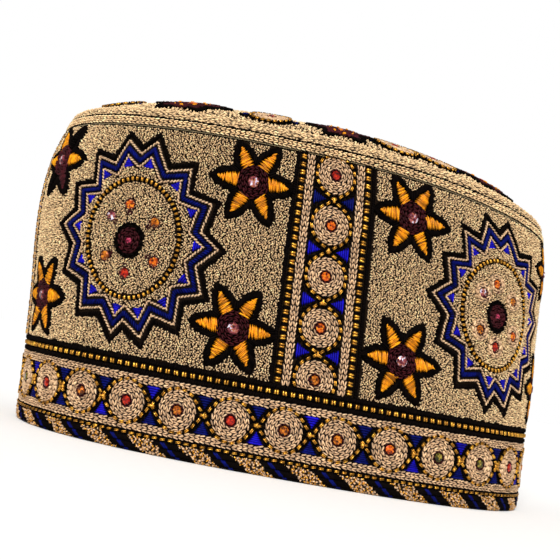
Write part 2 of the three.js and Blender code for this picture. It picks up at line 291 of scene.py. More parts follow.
# A small ground stitch: start, left, top, right, end.
LOOP_FACES = np.array([(0, 2, 1), (0, 3, 2), (0, 1, 3), (4, 1, 2), (4, 2, 3), (4, 3, 1)])
# Places of a strand's cross sections along it, how high its sides stand beside its top, and how far its ends
# are sunk.
STRAND_SHARES = (0.24, 0.76)
LOOP_SHARES = (0.5,)
STRAND_SIDE = 0.12
STRAND_SUNK = 0.05
# Tint of a strand's ends, sides and top: painted shade darkens its ends and sides towards the cloth, and a
# painted highlight brightens its top.
STRAND_PAINTED_SHADE = (0.2, 0.4, 1.15)
# How far hand-laid stitches stray from their line.
ROPE_STRAY = 0.06
CHAIN_STRAY = 0.09
# A chain link's strands: reach back and on as shares of the step, and openings there as shares of the width.
CHAIN_REACH = (0.75, 0.5)
CHAIN_APART = (0.04, 0.42)
# A ground loop: stray as a share of the steps, and shares of its length and height that chance gives it.
LOOP_STRAY = 0.4
LOOP_REACH = (0.38, 0.62)
LOOP_RISE = (0.4, 1.6)
# A cut stone: sides, and reach, rise and twist of its table, its girdle and its foot.
STONE_SIDES = 8
STONE_RINGS = ((0.55, 1.0, 0.5), (1.0, 0.42, 0.0), (1.0, 0.0, 0.0))
# Range of the painted brightness of each facet, a painted reflection inside the glass.
FACET_PAINTED_REFLECTION = (0.3, 1.35)
# Points that draw an oval, and half the distance over which a path's direction is taken.
OVAL_POINTS = 120
PATH_NUDGE = 0.05

# The stage: the floor in metres, and the strength of the light from all round.
FLOOR_RADIUS = 6.0
FLOOR_SIDES = 96
AMBIENT = 0.55


class CapSizes(bpy.types.PropertyGroup):
    """Sizes of the cap's oval, wall and dome"""
    rim_half_length: FloatProperty(name="Rim Half Length", description="Half the rim's length outside",
                                   default=0.098, unit="LENGTH")
    rim_half_width: FloatProperty(name="Rim Half Width", description="Half the rim's width outside",
                                  default=0.073, unit="LENGTH")
    rim_squareness: FloatProperty(name="Rim Squareness", description="Exponent of the rim's oval",
                                  default=2.4)
    frame_shift: FloatProperty(name="Frame Shift", description="Distance of the rim's middle from the origin",
                               default=0.0039, unit="LENGTH")
    seam_left: FloatProperty(name="Seam Left", description="Seam height at the left end",
                             default=0.109, unit="LENGTH")
    seam_side: FloatProperty(name="Seam Side", description="Seam height at the long sides",
                             default=0.1105, unit="LENGTH")
    seam_right: FloatProperty(name="Seam Right", description="Seam height at the right end",
                              default=0.1014, unit="LENGTH")
    top_sway: FloatProperty(name="Top Sway", description="How far the wall's top leans along the length",
                            default=-0.0076, unit="LENGTH")
    dome_rise: FloatProperty(name="Dome Rise", description="Height of the dome above the seam",
                             default=0.0205, unit="LENGTH")
    dome_fullness: FloatProperty(name="Dome Fullness", description="Exponent of the dome's curve",
                                 default=2.13)
    dome_centre: FloatProperty(name="Dome Centre", description="Height under the dome's middle",
                               default=0.1059, unit="LENGTH")
    cloth: FloatProperty(name="Cloth", description="Thickness of the cloth wall",
                         default=0.002, unit="LENGTH")


class CapColours(bpy.types.PropertyGroup):
    """Thread, cloth and glass colours as sRGB hex"""
    beige: StringProperty(name="Beige", description="Ground thread", default="#F6CE9A")
    rose: StringProperty(name="Rose Beige", description="Chain-stitch rows", default="#D6AE86")
    black: StringProperty(name="Black", description="Outline thread", default="#0A0605")
    navy: StringProperty(name="Navy", description="Dark blue thread", default="#050D54")
    blue: StringProperty(name="Blue", description="Bright blue thread", default="#0E06A0")
    orange: StringProperty(name="Orange", description="Petal thread", default="#E48C0A")
    maroon: StringProperty(name="Maroon", description="Flower hearts", default="#3C0E14")
    gold: StringProperty(name="Gold", description="Metal thread", default="#E09C38")
    # The cloth under the stitches, painted near black as the shade in the gaps between them.
    gap_shade: StringProperty(name="Backing", description="Cloth between stitches", default="#160E07")
    lining: StringProperty(name="Lining", description="Plain cloth inside", default="#C9BC9E")
    red_glass: StringProperty(name="Red Glass", description="Red stones", default="#A01002")
    orange_glass: StringProperty(name="Orange Glass", description="Orange stones", default="#D85408")
    amber_glass: StringProperty(name="Amber Glass", description="Amber stones", default="#A85206")
    olive_glass: StringProperty(name="Olive Glass", description="Olive stones", default="#3E3A10")
    aurora_glass: StringProperty(name="Aurora Glass", description="Flower crystals", default="#C8B4D0")
    magenta_glass: StringProperty(name="Magenta Glass", description="Medallion cores", default="#7A1030")
    floor: StringProperty(name="Floor", description="Plain pale floor", default="#F6F5F3")


def linear(hex_colour):
    """Linear colour with alpha from an sRGB hex string."""
    values = [int(hex_colour[i:i + 2], 16) / 255 for i in (1, 3, 5)]
    return [v / 12.92 if v <= 0.04045 else ((v + 0.055) / 1.055) ** 2.4 for v in values] + [1.0]


def mm(metres):
    """The pattern's millimetres."""
    return metres * 1000


def smooth_column(share, column):
    """Smooth curve through one column of the wall's sections."""
    rows = np.array(WALL_SECTIONS["share"])
    values = np.array(WALL_SECTIONS[column])
    slopes = np.empty(len(rows))
    slopes[1:-1] = (values[2:] - values[:-2]) / (rows[2:] - rows[:-2])
    slopes[0] = (values[1] - values[0]) / (rows[1] - rows[0])
    slopes[-1] = (values[-1] - values[-2]) / (rows[-1] - rows[-2])
    index = np.clip(np.searchsorted(rows, share, side="right") - 1, 0, len(rows) - 2)
    span = rows[index + 1] - rows[index]
    t = (share - rows[index]) / span
    rise = values[index + 1] - values[index]
    start, end = slopes[index] * span, slopes[index + 1] * span
    bend = start + end - 2 * rise
    return values[index] + t * (start + t * (rise - start - bend + t * bend))


class CapSurface:
    """The cap's outer skin: from places on the flattened wall or crown to points in millimetres."""

    def __init__(self, sizes):
        self.sizes = sizes
        angle = np.linspace(0, 2 * np.pi, RIM_STEPS + 1) - np.pi / 2
        power = 2 / sizes.rim_squareness
        cos, sin = np.cos(angle), np.sin(angle)
        self.rim_x = mm(sizes.rim_half_length) * np.sign(cos) * np.abs(cos) ** power
        self.rim_y = mm(sizes.rim_half_width) * np.sign(sin) * np.abs(sin) ** power
        steps = np.hypot(np.diff(self.rim_x), np.diff(self.rim_y))
        self.rim_length = np.concatenate([[0], np.cumsum(steps)])
        self.girth = self.rim_length[-1]
        self.shares = np.linspace(0, 1, SHARE_STEPS + 1)
        self.insets = {side: smooth_column(self.shares, side) for side in ("left", "side", "right")}
        self._dome_tables()

    def rim(self, along):
        """The rim's oval at a distance round it."""
        length = np.mod(along, self.girth)
        return np.interp(length, self.rim_length, self.rim_x), np.interp(length, self.rim_length, self.rim_y)

    def way_round(self, along):
        """The shorter way round to a place, forwards or backwards."""
        half = self.girth / 2
        return (along + half) % self.girth - half

    def round_line(self, up):
        """A level line right round the cap."""
        half = self.girth / 2
        return [(-half, up), (half, up)]

    @staticmethod
    def blend(across, left, side, right):
        """A value that changes smoothly from the long sides towards each end."""
        return side + np.where(across > 0, right - side, left - side) * across ** 2

    def seam(self, along):
        """Height of the crown's seam."""
        s = self.sizes
        across = self.rim(along)[0] / mm(s.rim_half_length)
        return self.blend(across, mm(s.seam_left), mm(s.seam_side), mm(s.seam_right))

    def wall_skin(self, along, share):
        """A point of the wall at a share of its height."""
        s = self.sizes
        x, y = self.rim(along)
        across = x / mm(s.rim_half_length)
        columns = [np.interp(share, self.shares, self.insets[k]) for k in ("left", "side", "right")]
        scale = 1 - self.blend(across, *columns) / np.hypot(x, y)
        return np.stack([x * scale + mm(s.top_sway) * share, y * scale, self.seam(along) * share], -1)

    def dome_skin(self, along, degrees):
        """A point of the dome at an angle up from the seam."""
        s = self.sizes
        angle = np.radians(degrees)
        power = 2 / s.dome_fullness
        reach = np.maximum(np.cos(angle), 0) ** power
        rise = mm(s.dome_rise) * np.abs(np.sin(angle)) ** power * np.sign(degrees)
        edge = self.wall_skin(along, np.ones_like(reach))
        x = mm(s.top_sway) + (edge[..., 0] - mm(s.top_sway)) * reach
        height = edge[..., 2] * reach + mm(s.dome_centre) * (1 - reach) + rise
        return np.stack([x, edge[..., 1] * reach, height], -1)

    @staticmethod
    def lifted(skin, along, up, out, step):
        """A point that stands out from a skin, square to it."""
        turn = skin(along + FACING_ALONG, up) - skin(along - FACING_ALONG, up)
        climb = skin(along, up + step) - skin(along, up - step)
        normal = np.cross(turn, climb)
        normal /= np.linalg.norm(normal, axis=-1, keepdims=True)
        return skin(along, up) + normal * np.asarray(out)[..., None]

    def on_wall(self, along, height, out):
        """A height on the wall, as measured."""
        share = np.clip(height / self.seam(along), FACING_SHARE, 1 - FACING_SHARE)
        point = self.lifted(self.wall_skin, along, share, out, FACING_SHARE)
        point[..., 2] += height - share * self.seam(along)
        return point

    def on_design(self, along, height, out):
        """A height of the design, which draws in under the lower seam at the right end."""
        room = (self.seam(along) - DESIGN_MIDDLE) / (mm(self.sizes.seam_side) - DESIGN_MIDDLE)
        above = np.maximum(height - DESIGN_MIDDLE, 0)
        return self.on_wall(along, height + above * (room - 1), out)

    def _dome_tables(self):
        """Dome angle by girth and by distance up from the seam, and the seam's plan by bearing."""
        along = np.linspace(0, self.girth, GIRTH_STEPS + 1)
        degrees = np.linspace(0, 90, DOME_STEPS + 1)
        grid = self.dome_skin(*np.meshgrid(along, degrees, indexing="ij"))
        steps = np.linalg.norm(np.diff(grid, axis=1), axis=-1)
        lengths = np.concatenate([np.zeros((len(along), 1)), np.cumsum(steps, 1)], 1)
        self.dome_along, self.dome_full, self.dome_lengths = along, lengths[:, -1], lengths
        shares = np.linspace(0, 1, CLIMB_STEPS + 1)
        self.dome_angles = np.array([np.interp(shares * row[-1], row, degrees) for row in lengths])
        edge = self.wall_skin(along, np.ones(len(along)))
        x = edge[:, 0] - mm(self.sizes.top_sway)
        self.seam_bearing = np.unwrap(np.arctan2(edge[:, 1], x))
        self.seam_radius = np.hypot(x, edge[:, 1])

    def girth_row(self, along):
        """Row of the dome's tables at a place round the girth, and the share of the way to the next."""
        place = np.mod(along, self.girth) / self.girth * GIRTH_STEPS
        row = np.clip(place.astype(int), 0, GIRTH_STEPS - 1)
        return row, place - row

    def dome_angle(self, along, up):
        """Dome angle at a distance up from the seam."""
        row, a = self.girth_row(along)
        full = np.interp(np.mod(along, self.girth), self.dome_along, self.dome_full)
        share = np.clip(up / full, 0, 1) * CLIMB_STEPS
        column = np.clip(share.astype(int), 0, CLIMB_STEPS - 1)
        b = share - column
        table = self.dome_angles
        low = table[row, column] * (1 - b) + table[row, column + 1] * b
        high = table[row + 1, column] * (1 - b) + table[row + 1, column + 1] * b
        return low * (1 - a) + high * a

    def on_dome(self, along, up, out):
        """A distance up the crown from the seam."""
        degrees = np.clip(self.dome_angle(along, up), *DOME_LIMITS)
        return self.lifted(self.dome_skin, along, degrees, out, FACING_DEGREES)

    def dome_up(self, along, degrees):
        """Distance up from the seam at a dome angle."""
        row, _ = self.girth_row(along)
        place = np.clip(degrees * (DOME_STEPS / 90), 0, DOME_STEPS - 0.01)
        column = place.astype(int)
        before, after = self.dome_lengths[row, column], self.dome_lengths[row, column + 1]
        return before + (after - before) * (place - column)

    def seam_turn(self, x, y):
        """Bearing of a place on the crown in plan, in the seam's own range."""
        bearing = np.arctan2(y, x)
        first = self.seam_bearing[0]
        return first + np.mod(bearing - first, 2 * np.pi)

    def seam_reach(self, x, y):
        """Distance from the crown's middle to the seam, past a place in plan."""
        return np.interp(self.seam_turn(x, y), self.seam_bearing, self.seam_radius)

    def crown_place(self, x, y):
        """Girth and dome angle of a place on the crown in plan, from its middle."""
        along = np.interp(self.seam_turn(x, y), self.seam_bearing, self.dome_along)
        reach = np.clip(np.hypot(x, y) / self.seam_reach(x, y), *REACH_LIMITS)
        return along, np.degrees(np.arccos(reach ** (self.sizes.dome_fullness / 2)))

    def on_crown(self, x, y, out):
        """A place on the crown in plan, from its middle."""
        return self.lifted(self.dome_skin, *self.crown_place(x, y), out, FACING_DEGREES)

    def metres(self, points):
        """Points in the shared frame."""
        return points * 0.001 + np.array([self.sizes.frame_shift, 0, 0])


def resample(path, step):
    """Evenly spaced points on a flat path, with their tangents."""
    path = np.asarray(path, float)
    lengths = np.concatenate([[0], np.cumsum(np.hypot(*np.diff(path, axis=0).T))])
    count = max(int(round(lengths[-1] / step)), 1)
    places = (np.arange(count) + 0.5) * lengths[-1] / count

    def at(length):
        return np.stack([np.interp(length, lengths, path[:, k]) for k in (0, 1)], -1)

    tangent = at(places + PATH_NUDGE) - at(places - PATH_NUDGE)
    return at(places), tangent / np.maximum(np.linalg.norm(tangent, axis=1, keepdims=True), 1e-6)


def across(tangent):
    """A quarter turn to the left."""
    return np.stack([-tangent[:, 1], tangent[:, 0]], -1)


class Stitches:
    """Short padded strands and cut stones in flat places, joined into one mesh."""

    def __init__(self, seed):
        self.random = np.random.default_rng(seed)
        self.strand_rows, self.loop_rows, self.stone_rows = [], [], []

    def strands(self, start, end, width, height, thread, lift=0.0, vary=0.12, small=False):
        """Strands from starts to ends; small ones are single loops."""
        start, end = np.atleast_2d(start).astype(float), np.atleast_2d(end).astype(float)
        count = len(start)
        tint = 1 + vary * self.random.standard_normal(count).clip(-2, 2)
        row = [start, end] + [np.broadcast_to(v, count).astype(float) for v in (width, height, lift, tint)]
        row.append(np.full(count, THREADS.index(thread)))
        (self.loop_rows if small else self.strand_rows).append(row)

    def rope(self, path, width, thread, step=0.85, slant=0.55, height=0.75, lift=0.0, thick=1.2):
        """Slanting stitches laid close across a line."""
        points, tangent = resample(path, step)
        side = across(tangent) * width / 2 + tangent * width * slant / 2
        points = points + self.random.normal(0, ROPE_STRAY, points.shape)
        self.strands(points - side, points + side, thick, height, thread, lift)

    def chain(self, path, width, thread, step=1.8, height=0.75, lift=0.0):
        """A row of chain stitch: each link is two strands that open towards the next one."""
        points, tangent = resample(path, step)
        normal = across(tangent)
        for side in (-1, 1):
            start = points - tangent * step * CHAIN_REACH[0] + normal * width * CHAIN_APART[0] * side
            end = points + tangent * step * CHAIN_REACH[1] + normal * width * CHAIN_APART[1] * side
            shift = self.random.normal(0, CHAIN_STRAY, points.shape)
            self.strands(start + shift, end + shift, width * 0.42, height, thread, lift, vary=0.3)

    def checks(self, path, width, pitch=2.85, apart=0.15):
        """Blocks of two crossed metal strands between dark bars."""
        points, tangent = resample(path, pitch)
        side = across(tangent) * width * 0.52
        for place in (-apart, apart):
            middle = points + tangent * place * pitch
            lean = tangent * self.random.normal(0, 0.05 * pitch, (len(points), 1))
            self.strands(middle - side - lean, middle + side + lean, (apart + 0.23) * pitch, 0.85, GOLD,
                         lift=0.05, vary=0.5)
        for place in (-0.07, 0.07):
            bar = points + tangent * (0.5 + place) * pitch
            self.strands(bar - side * 1.15, bar + side * 1.15, 0.28 * pitch, 0.65, BLACK)

    def dashes(self, path, width, pitch=DASH_PITCH, lift=0.0):
        """Metal thread that shows between short dark stitches along a line."""
        points, tangent = resample(path, pitch)
        for side in (-1, 1):
            lean = across(tangent) * width * 0.16
            middle = points + across(tangent) * width * 0.22 * side
            reach = tangent * pitch * 0.46 + lean
            self.strands(middle - reach, middle + reach, width * 0.55, 0.85, GOLD, lift + 0.15, vary=0.45)
        gap = points + tangent * pitch / 2
        reach = tangent * pitch * 0.18
        self.strands(gap - reach, gap + reach, width * 1.1, 0.85, BLACK, lift + 0.15)

    def satin(self, inner, outer, thread, step=0.95, height=0.85, lift=0.0):
        """Long stitches from one edge to the other between two paths with matching corners."""
        inner, outer = np.asarray(inner, float), np.asarray(outer, float)
        for k in range(len(inner) - 1):
            run = max(np.linalg.norm(outer[k + 1] - outer[k]), np.linalg.norm(inner[k + 1] - inner[k]))
            count = max(int(round(run / step)), 1)
            t = ((np.arange(count) + 0.5) / count)[:, None]
            start = inner[k] + (inner[k + 1] - inner[k]) * t
            end = outer[k] + (outer[k + 1] - outer[k]) * t
            spare = (end - start) * 0.08
            self.strands(start - spare, end + spare, run / count * 0.98, height, thread, lift, vary=0.45)

    def rings(self, middle, inner, outer, count, thread, height=0.8, lift=0.1, wide=1.0):
        """Rings of chain stitch, one inside the other."""
        pitch = (outer - inner) / count
        for k in range(count):
            radius = inner + pitch * (k + 0.5)
            ring = oval_path(middle, (radius * wide, radius))
            self.chain(ring, pitch * 1.12, thread, step=1.9, height=height, lift=lift)

    def fill(self, inside, low, high, thread, across_step=0.83, up_step=0.54, length=1.12, width=0.56,
             height=0.68, turn=np.pi / 2, vary=0.36):
        """Short looped stitches scattered over a field, by default as close as the wall's ground."""
        xs = np.arange(low[0], high[0], across_step)
        ys = np.arange(low[1], high[1], up_step)
        x, y = np.meshgrid(xs, ys)
        x = x + (np.arange(len(ys)) % 2)[:, None] * across_step / 2
        points = np.stack([x.ravel(), y.ravel()], -1)
        points += self.random.uniform(-LOOP_STRAY, LOOP_STRAY, points.shape) * (across_step, up_step)
        points = points[inside(points[:, 0], points[:, 1])]
        angle = self.random.uniform(-turn, turn, len(points))
        reach = np.stack([np.cos(angle), np.sin(angle)], -1)
        reach *= (length * self.random.uniform(*LOOP_REACH, len(points)))[:, None]
        rise = height * self.random.uniform(*LOOP_RISE, len(points))
        self.strands(points - reach, points + reach, width, rise, thread, vary=vary, small=True)

    def triangle(self, corners, thread, step=0.7):
        """Satin stitch across a triangle, from its first corner to the opposite side."""
        a, b, c = (np.asarray(p, float) for p in corners)
        count = max(int(np.linalg.norm((b + c) / 2 - a) / step), 2)
        t = (np.arange(count) + 0.6)[:, None] / (count + 0.2)
        self.strands(a + (b - a) * t, a + (c - a) * t, step * 1.45, 0.6, thread, vary=0.3)

    def stone(self, middle, radius, height, glass, lift):
        """A cut stone, turned a little by chance."""
        self.stone_rows.append((middle, radius, height, glass, lift, self.random.uniform(0, 0.8)))

    @staticmethod
    def _strand_arrays(rows, small):
        """Corners, faces, tints with painted shade and highlight, and threads of all strands: low ends and
        sides under a raised top.
        """
        start, end, width, height, lift, tint, thread = (np.concatenate(c) for c in zip(*rows))
        along = end - start
        length = np.maximum(np.linalg.norm(along, axis=1), 1e-6)
        side = across(along / length[:, None]) * (width / 2)[:, None]
        shares = LOOP_SHARES if small else STRAND_SHARES
        flat = np.empty((len(start), 2 + 3 * len(shares), 3))
        flat[:, 0, :2], flat[:, -1, :2] = start, end
        flat[:, (0, -1), 2] = (lift - STRAND_SUNK)[:, None]
        for k, share in enumerate(shares):
            middle = start + along * share
            for corner, offset, rise in ((1, side, STRAND_SIDE), (2, 0, 1.0), (3, -side, STRAND_SIDE)):
                flat[:, corner + 3 * k, :2] = middle + offset
                flat[:, corner + 3 * k, 2] = lift + height * rise
        pattern = LOOP_FACES if small else STRAND_FACES
        corners = flat.shape[1]
        faces = (np.arange(len(start))[:, None, None] * corners + pattern).reshape(-1, 3)
        # Painted shade at each strand's ends and sides and a painted highlight on its top, times its own
        # random tint.
        ends, sides, top = STRAND_PAINTED_SHADE
        painted_light_tints = tint[:, None] * np.array([ends] + [sides, top, sides] * len(shares) + [ends])
        return flat.reshape(-1, 3), faces, painted_light_tints.ravel(), np.repeat(thread, len(pattern)), True

    def _stone_arrays(self):
        """Cut stones: a table, a ring of main facets and a ring of girdle facets, each facet with its own
        painted reflection.
        """
        corners, painted_light_tints, glasses = [], [], []
        sides = STONE_SIDES
        for middle, radius, height, glass, lift, turn in self.stone_rows:
            angle = np.arange(sides) * 2 * np.pi / sides + turn
            flat = [(*middle, lift + height), (*middle, lift)]
            for reach, rise, twist in STONE_RINGS:
                a = angle + twist * 2 * np.pi / sides
                x, y = middle[0] + radius * reach * np.sin(a), middle[1] + radius * reach * np.cos(a)
                flat += list(zip(x, y, np.full(sides, lift + height * rise)))
            top, girdle, foot = (2 + sides * k for k in range(3))
            for i in range(sides):
                j = (i + 1) % sides
                facets = ((0, top + j, top + i), (top + i, girdle + j, girdle + i),
                          (top + i, top + j, girdle + j), (girdle + i, girdle + j, foot + j),
                          (girdle + i, foot + j, foot + i), (1, foot + i, foot + j))
                for facet in facets:
                    corners += [flat[k] for k in facet]
                    # Painted reflection: a random brightness for each facet.
                    painted_light_tints += [self.random.uniform(*FACET_PAINTED_REFLECTION)] * 3
                    glasses.append(GLASSES.index(glass) + len(THREADS))
        faces = np.arange(len(corners)).reshape(-1, 3)
        return np.array(corners), faces, np.array(painted_light_tints), np.array(glasses), False

    def make(self, name, surface, place):
        """One mesh object from everything collected, with one material slot for each thread or glass."""
        parts = [self._strand_arrays(rows, small)
                 for rows, small in ((self.strand_rows, False), (self.loop_rows, True)) if rows]
        if self.stone_rows:
            parts.append(self._stone_arrays())
        offsets = np.cumsum([0] + [len(part[0]) for part in parts])
        flat = np.concatenate([part[0] for part in parts])
        faces = np.concatenate([part[1] + offset for part, offset in zip(parts, offsets)])
        slots = np.concatenate([part[3] for part in parts])
        used = np.unique(slots)
        mesh = mesh_from_arrays(name, surface.metres(place(*flat.T)), faces)
        for k in used:
            mesh.materials.append(bpy.data.materials[(THREADS + GLASSES)[k]])
        mesh.polygons.foreach_set("material_index", np.searchsorted(used, slots).astype(np.int32))
        mesh.polygons.foreach_set("use_smooth", np.concatenate([np.full(len(p[1]), p[4]) for p in parts]))
        # Tint of each corner: a strand's random tint with painted shade and highlight, or a facet's painted
        # reflection.
        tint = mesh.attributes.new("tint", "FLOAT", "POINT")
        tint.data.foreach_set("value", np.concatenate([part[2] for part in parts]).astype(np.float32))
        return link_piece(name, mesh)


def mesh_from_arrays(name, points, faces):
    """A triangle mesh straight from arrays of corners and faces."""
    mesh = bpy.data.meshes.new(name)
    mesh.vertices.add(len(points))
    mesh.vertices.foreach_set("co", points.astype(np.float32).ravel())
    mesh.loops.add(faces.size)
    mesh.loops.foreach_set("vertex_index", faces.astype(np.int32).ravel())
    mesh.polygons.add(len(faces))
    mesh.polygons.foreach_set("loop_start", np.arange(0, faces.size, 3, dtype=np.int32))
    mesh.update(calc_edges=True)
    return mesh


def link_piece(name, mesh):
    """A new object in the scene, at the origin."""
    piece = bpy.data.objects.new(name, mesh)
    bpy.context.scene.collection.objects.link(piece)
    return piece


def attach(piece, slot, *nodes):
    """Rides on the cap's one body in place of its solids."""
    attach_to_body(piece, "root")
    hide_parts(*nodes)


def next_ring(work, ring, material):
    """Extrudes a ring of vertices and gives the new ring in the same order."""
    edges = [work.edges.get((a, b)) for a, b in zip(ring, ring[1:] + ring[:1])]
    grown = bmesh.ops.extrude_edge_only(work, edges=edges)["geom"]
    fresh = {v for v in grown if isinstance(v, bmesh.types.BMVert)}
    for face in grown:
        if isinstance(face, bmesh.types.BMFace):
            face.material_index = material
            face.smooth = True
    return [next(v for v in (e.other_vert(old) for e in old.link_edges) if v in fresh) for old in ring]


def sweep(name, surface, section, place, materials, count=180, domed=False):
    """A smooth closed shell from (up, out, material) rows carried round the oval.

    A domed shell closes both ends of its section over the middle of the crown."""
    work = bmesh.new()
    along = np.arange(count) * surface.girth / count
    ring = bmesh.ops.create_circle(work, segments=count, radius=0.1)["verts"]
    first = ring
    for k, (up, out, material) in enumerate(section):
        if k:
            ring = next_ring(work, ring, material)
        points = surface.metres(place(along, np.full(count, float(up)), np.full(count, float(out))))
        for vertex, point in zip(ring, points):
            vertex.co = point
    if domed:
        for edge_ring, material in ((first, section[0][2]), (ring, section[-1][2])):
            tip = next_ring(work, edge_ring, material)
            centre = sum((v.co for v in edge_ring), Vector()) / count
            bmesh.ops.pointmerge(work, verts=tip, merge_co=centre)
    else:
        ends = [work.edges.get((a, b)) for r in (first, ring) for a, b in zip(r, r[1:] + r[:1])]
        for face in bmesh.ops.bridge_loops(work, edges=ends)["faces"]:
            face.material_index = section[0][2]
            face.smooth = True
    bmesh.ops.recalc_face_normals(work, faces=work.faces)
    mesh = bpy.data.meshes.new(name)
    work.to_mesh(mesh)
    work.free()
    for material in materials:
        mesh.materials.append(bpy.data.materials[material])
    return link_piece(name, mesh)


def add_node(tree, kind, inputs=None, **settings):
    """A shader node with its settings, input values and links."""
    node = tree.nodes.new(kind)
    for key, value in settings.items():
        setattr(node, key, value)
    for key, value in (inputs or {}).items():
        if isinstance(value, bpy.types.NodeSocket):
            tree.links.new(value, node.inputs[key])
        else:
            node.inputs[key].default_value = value
    return node


def new_material(name, **values):
    """A material with one shader, its constant values set on the shader's own sockets."""
    material = bpy.data.materials.new(name)
    material.use_nodes = True
    tree = material.node_tree
    tree.nodes.clear()
    shader = add_node(tree, "ShaderNodeBsdfPrincipled", values)
    add_node(tree, "ShaderNodeOutputMaterial", {"Surface": shader.outputs["BSDF"]})
    return tree, shader


def stops(ramp, *rows):
    """Sets a colour ramp from (position, linear colour) rows."""
    elements = ramp.color_ramp.elements
    while len(elements) < len(rows):
        elements.new(0.5)
    for element, (position, colour) in zip(elements, rows):
        element.position = position
        element.color = colour


def shaded(colour, share):
    """A linear colour made darker or brighter."""
    return [min(v * share, 1.0) for v in colour[:3]] + [1.0]


def thread_material(name, colour, roughness, sheen, gloss, metallic=0.0, fibre=0.3):
    """Twisted thread: each strand has its own tint with painted shade and highlight, and fine fibres and
    uneven dye break its colour.

    The fibres are drawn wider than real ones, so that they show."""
    values = {"Roughness": roughness, "Metallic": metallic, "Sheen Weight": sheen, "Sheen Roughness": 0.4,
              "Specular IOR Level": gloss}
    tree, shader = new_material(name, **values)
    place = add_node(tree, "ShaderNodeTexCoord").outputs["Object"]
    # Each strand's random tint with painted shade at its ends and sides and a painted highlight on its top.
    tint = add_node(tree, "ShaderNodeAttribute", attribute_name="tint").outputs["Fac"]
    fibres = add_node(tree, "ShaderNodeTexNoise", {"Vector": place, "Scale": 1 / FIBRE_WIDTH, "Detail": 3.0})
    spread = {"Value": fibres.outputs["Fac"], "From Min": 0.3, "From Max": 0.7, "To Min": 0.5 - fibre,
              "To Max": 0.5 + fibre}
    grain = add_node(tree, "ShaderNodeMapRange", spread)
    dye = add_node(tree, "ShaderNodeTexNoise", {"Vector": place, "Scale": 1 / DYE_PATCH, "Detail": 2.0})
    uneven = {"Value": dye.outputs["Fac"], "From Min": 0.35, "From Max": 0.65, "To Min": 0.62, "To Max": 1.3}
    patch = add_node(tree, "ShaderNodeMapRange", uneven)
    strand = add_node(tree, "ShaderNodeMath", {0: grain.outputs["Result"], 1: tint}, operation="MULTIPLY")
    shade = add_node(tree, "ShaderNodeMath", {0: strand.outputs[0], 1: patch.outputs["Result"]},
                     operation="MULTIPLY")
    ramp = add_node(tree, "ShaderNodeValToRGB", {"Fac": shade.outputs[0]})
    base = linear(colour)
    stops(ramp, (0.0, shaded(base, 0.3)), (0.5, base), (1.0, shaded(base, 1.7)))
    bump = add_node(tree, "ShaderNodeBump", {"Height": fibres.outputs["Fac"], "Strength": 0.5,
                                             "Distance": 0.00015})
    tree.links.new(ramp.outputs["Color"], shader.inputs["Base Color"])
    tree.links.new(bump.outputs["Normal"], shader.inputs["Normal"])


def cloth_material(name, colour, weave_mm):
    """Plain woven cotton: a fine grain where its threads cross, with a soft uneven dye."""
    tree, shader = new_material(name, **{"Roughness": 0.9, "Specular IOR Level": 0.05})
    place = add_node(tree, "ShaderNodeTexCoord").outputs["Object"]
    weave = add_node(tree, "ShaderNodeTexVoronoi", {"Vector": place, "Scale": 1 / (weave_mm * 0.001)})
    patch = add_node(tree, "ShaderNodeTexNoise", {"Vector": place, "Scale": 1 / CLOTH_PATCH, "Detail": 3.0})
    shade = add_node(tree, "ShaderNodeMath", {0: weave.outputs[0], 1: patch.outputs["Fac"]}, operation="ADD")
    ramp = add_node(tree, "ShaderNodeValToRGB", {"Fac": shade.outputs[0]})
    base = linear(colour)
    stops(ramp, (0.3, shaded(base, 0.62)), (1.0, shaded(base, 1.15)))
    bump = add_node(tree, "ShaderNodeBump", {"Height": weave.outputs[0], "Strength": 0.5, "Distance": 0.0002})
    tree.links.new(ramp.outputs["Color"], shader.inputs["Base Color"])
    tree.links.new(bump.outputs["Normal"], shader.inputs["Normal"])


def glass_material(name, *colours):
    """Foil-backed cut glass: every facet is painted its own share of the colours, a painted reflection, under
    a clear gloss.
    """
    tree, shader = new_material(name, **{"Roughness": 0.15, "Metallic": 0.4, "Coat Weight": 0.1,
                                         "Coat Roughness": 0.03, "Specular IOR Level": 0.3})
    place = add_node(tree, "ShaderNodeTexCoord").outputs["Object"]
    # Painted reflections: each facet's random brightness and a fine painted sparkle pick the colour.
    tint = add_node(tree, "ShaderNodeAttribute", attribute_name="tint").outputs["Fac"]
    painted_sparkle = add_node(tree, "ShaderNodeTexNoise", {"Vector": place, "Scale": 1 / GLASS_PAINTED_SPARKLE, "Detail": 1.0})
    shade = add_node(tree, "ShaderNodeMath", {0: painted_sparkle.outputs["Fac"], 1: tint}, operation="MULTIPLY")
    ramp = add_node(tree, "ShaderNodeValToRGB", {"Fac": shade.outputs[0]})
    spread = np.linspace(0.15, 0.75, len(colours))
    stops(ramp, *[(stop, linear(colour)) for stop, colour in zip(spread, colours)])
    tree.links.new(ramp.outputs["Color"], shader.inputs["Base Color"])


def band_middles(surface):
    """Places of the upright bands round the girth."""
    return np.arange(BAND_COUNT) * surface.girth / BAND_COUNT


def star_middles(surface):
    """Middles of the medallions, one between each two bands."""
    return [(band + surface.girth / BAND_COUNT / 2 + STAR_MIDDLE[0], STAR_MIDDLE[1])
            for band in band_middles(surface)]


def flower_middles(surface):
    """Middles of the flowers, two above each other on both sides of each band."""
    return [(band + side, height) for band in band_middles(surface)
            for side in (-FLOWER_OFFSET, FLOWER_OFFSET) for height in FLOWER_HEIGHTS]


def oval_path(middle, half, grow=0.0):
    """Closed oval of given half sizes, made wider all round."""
    bearing = np.linspace(0, 2 * np.pi, OVAL_POINTS + 1)
    return np.stack([middle[0] + (half[0] + grow) * np.sin(bearing),
                     middle[1] + (half[1] + grow) * np.cos(bearing)], -1)


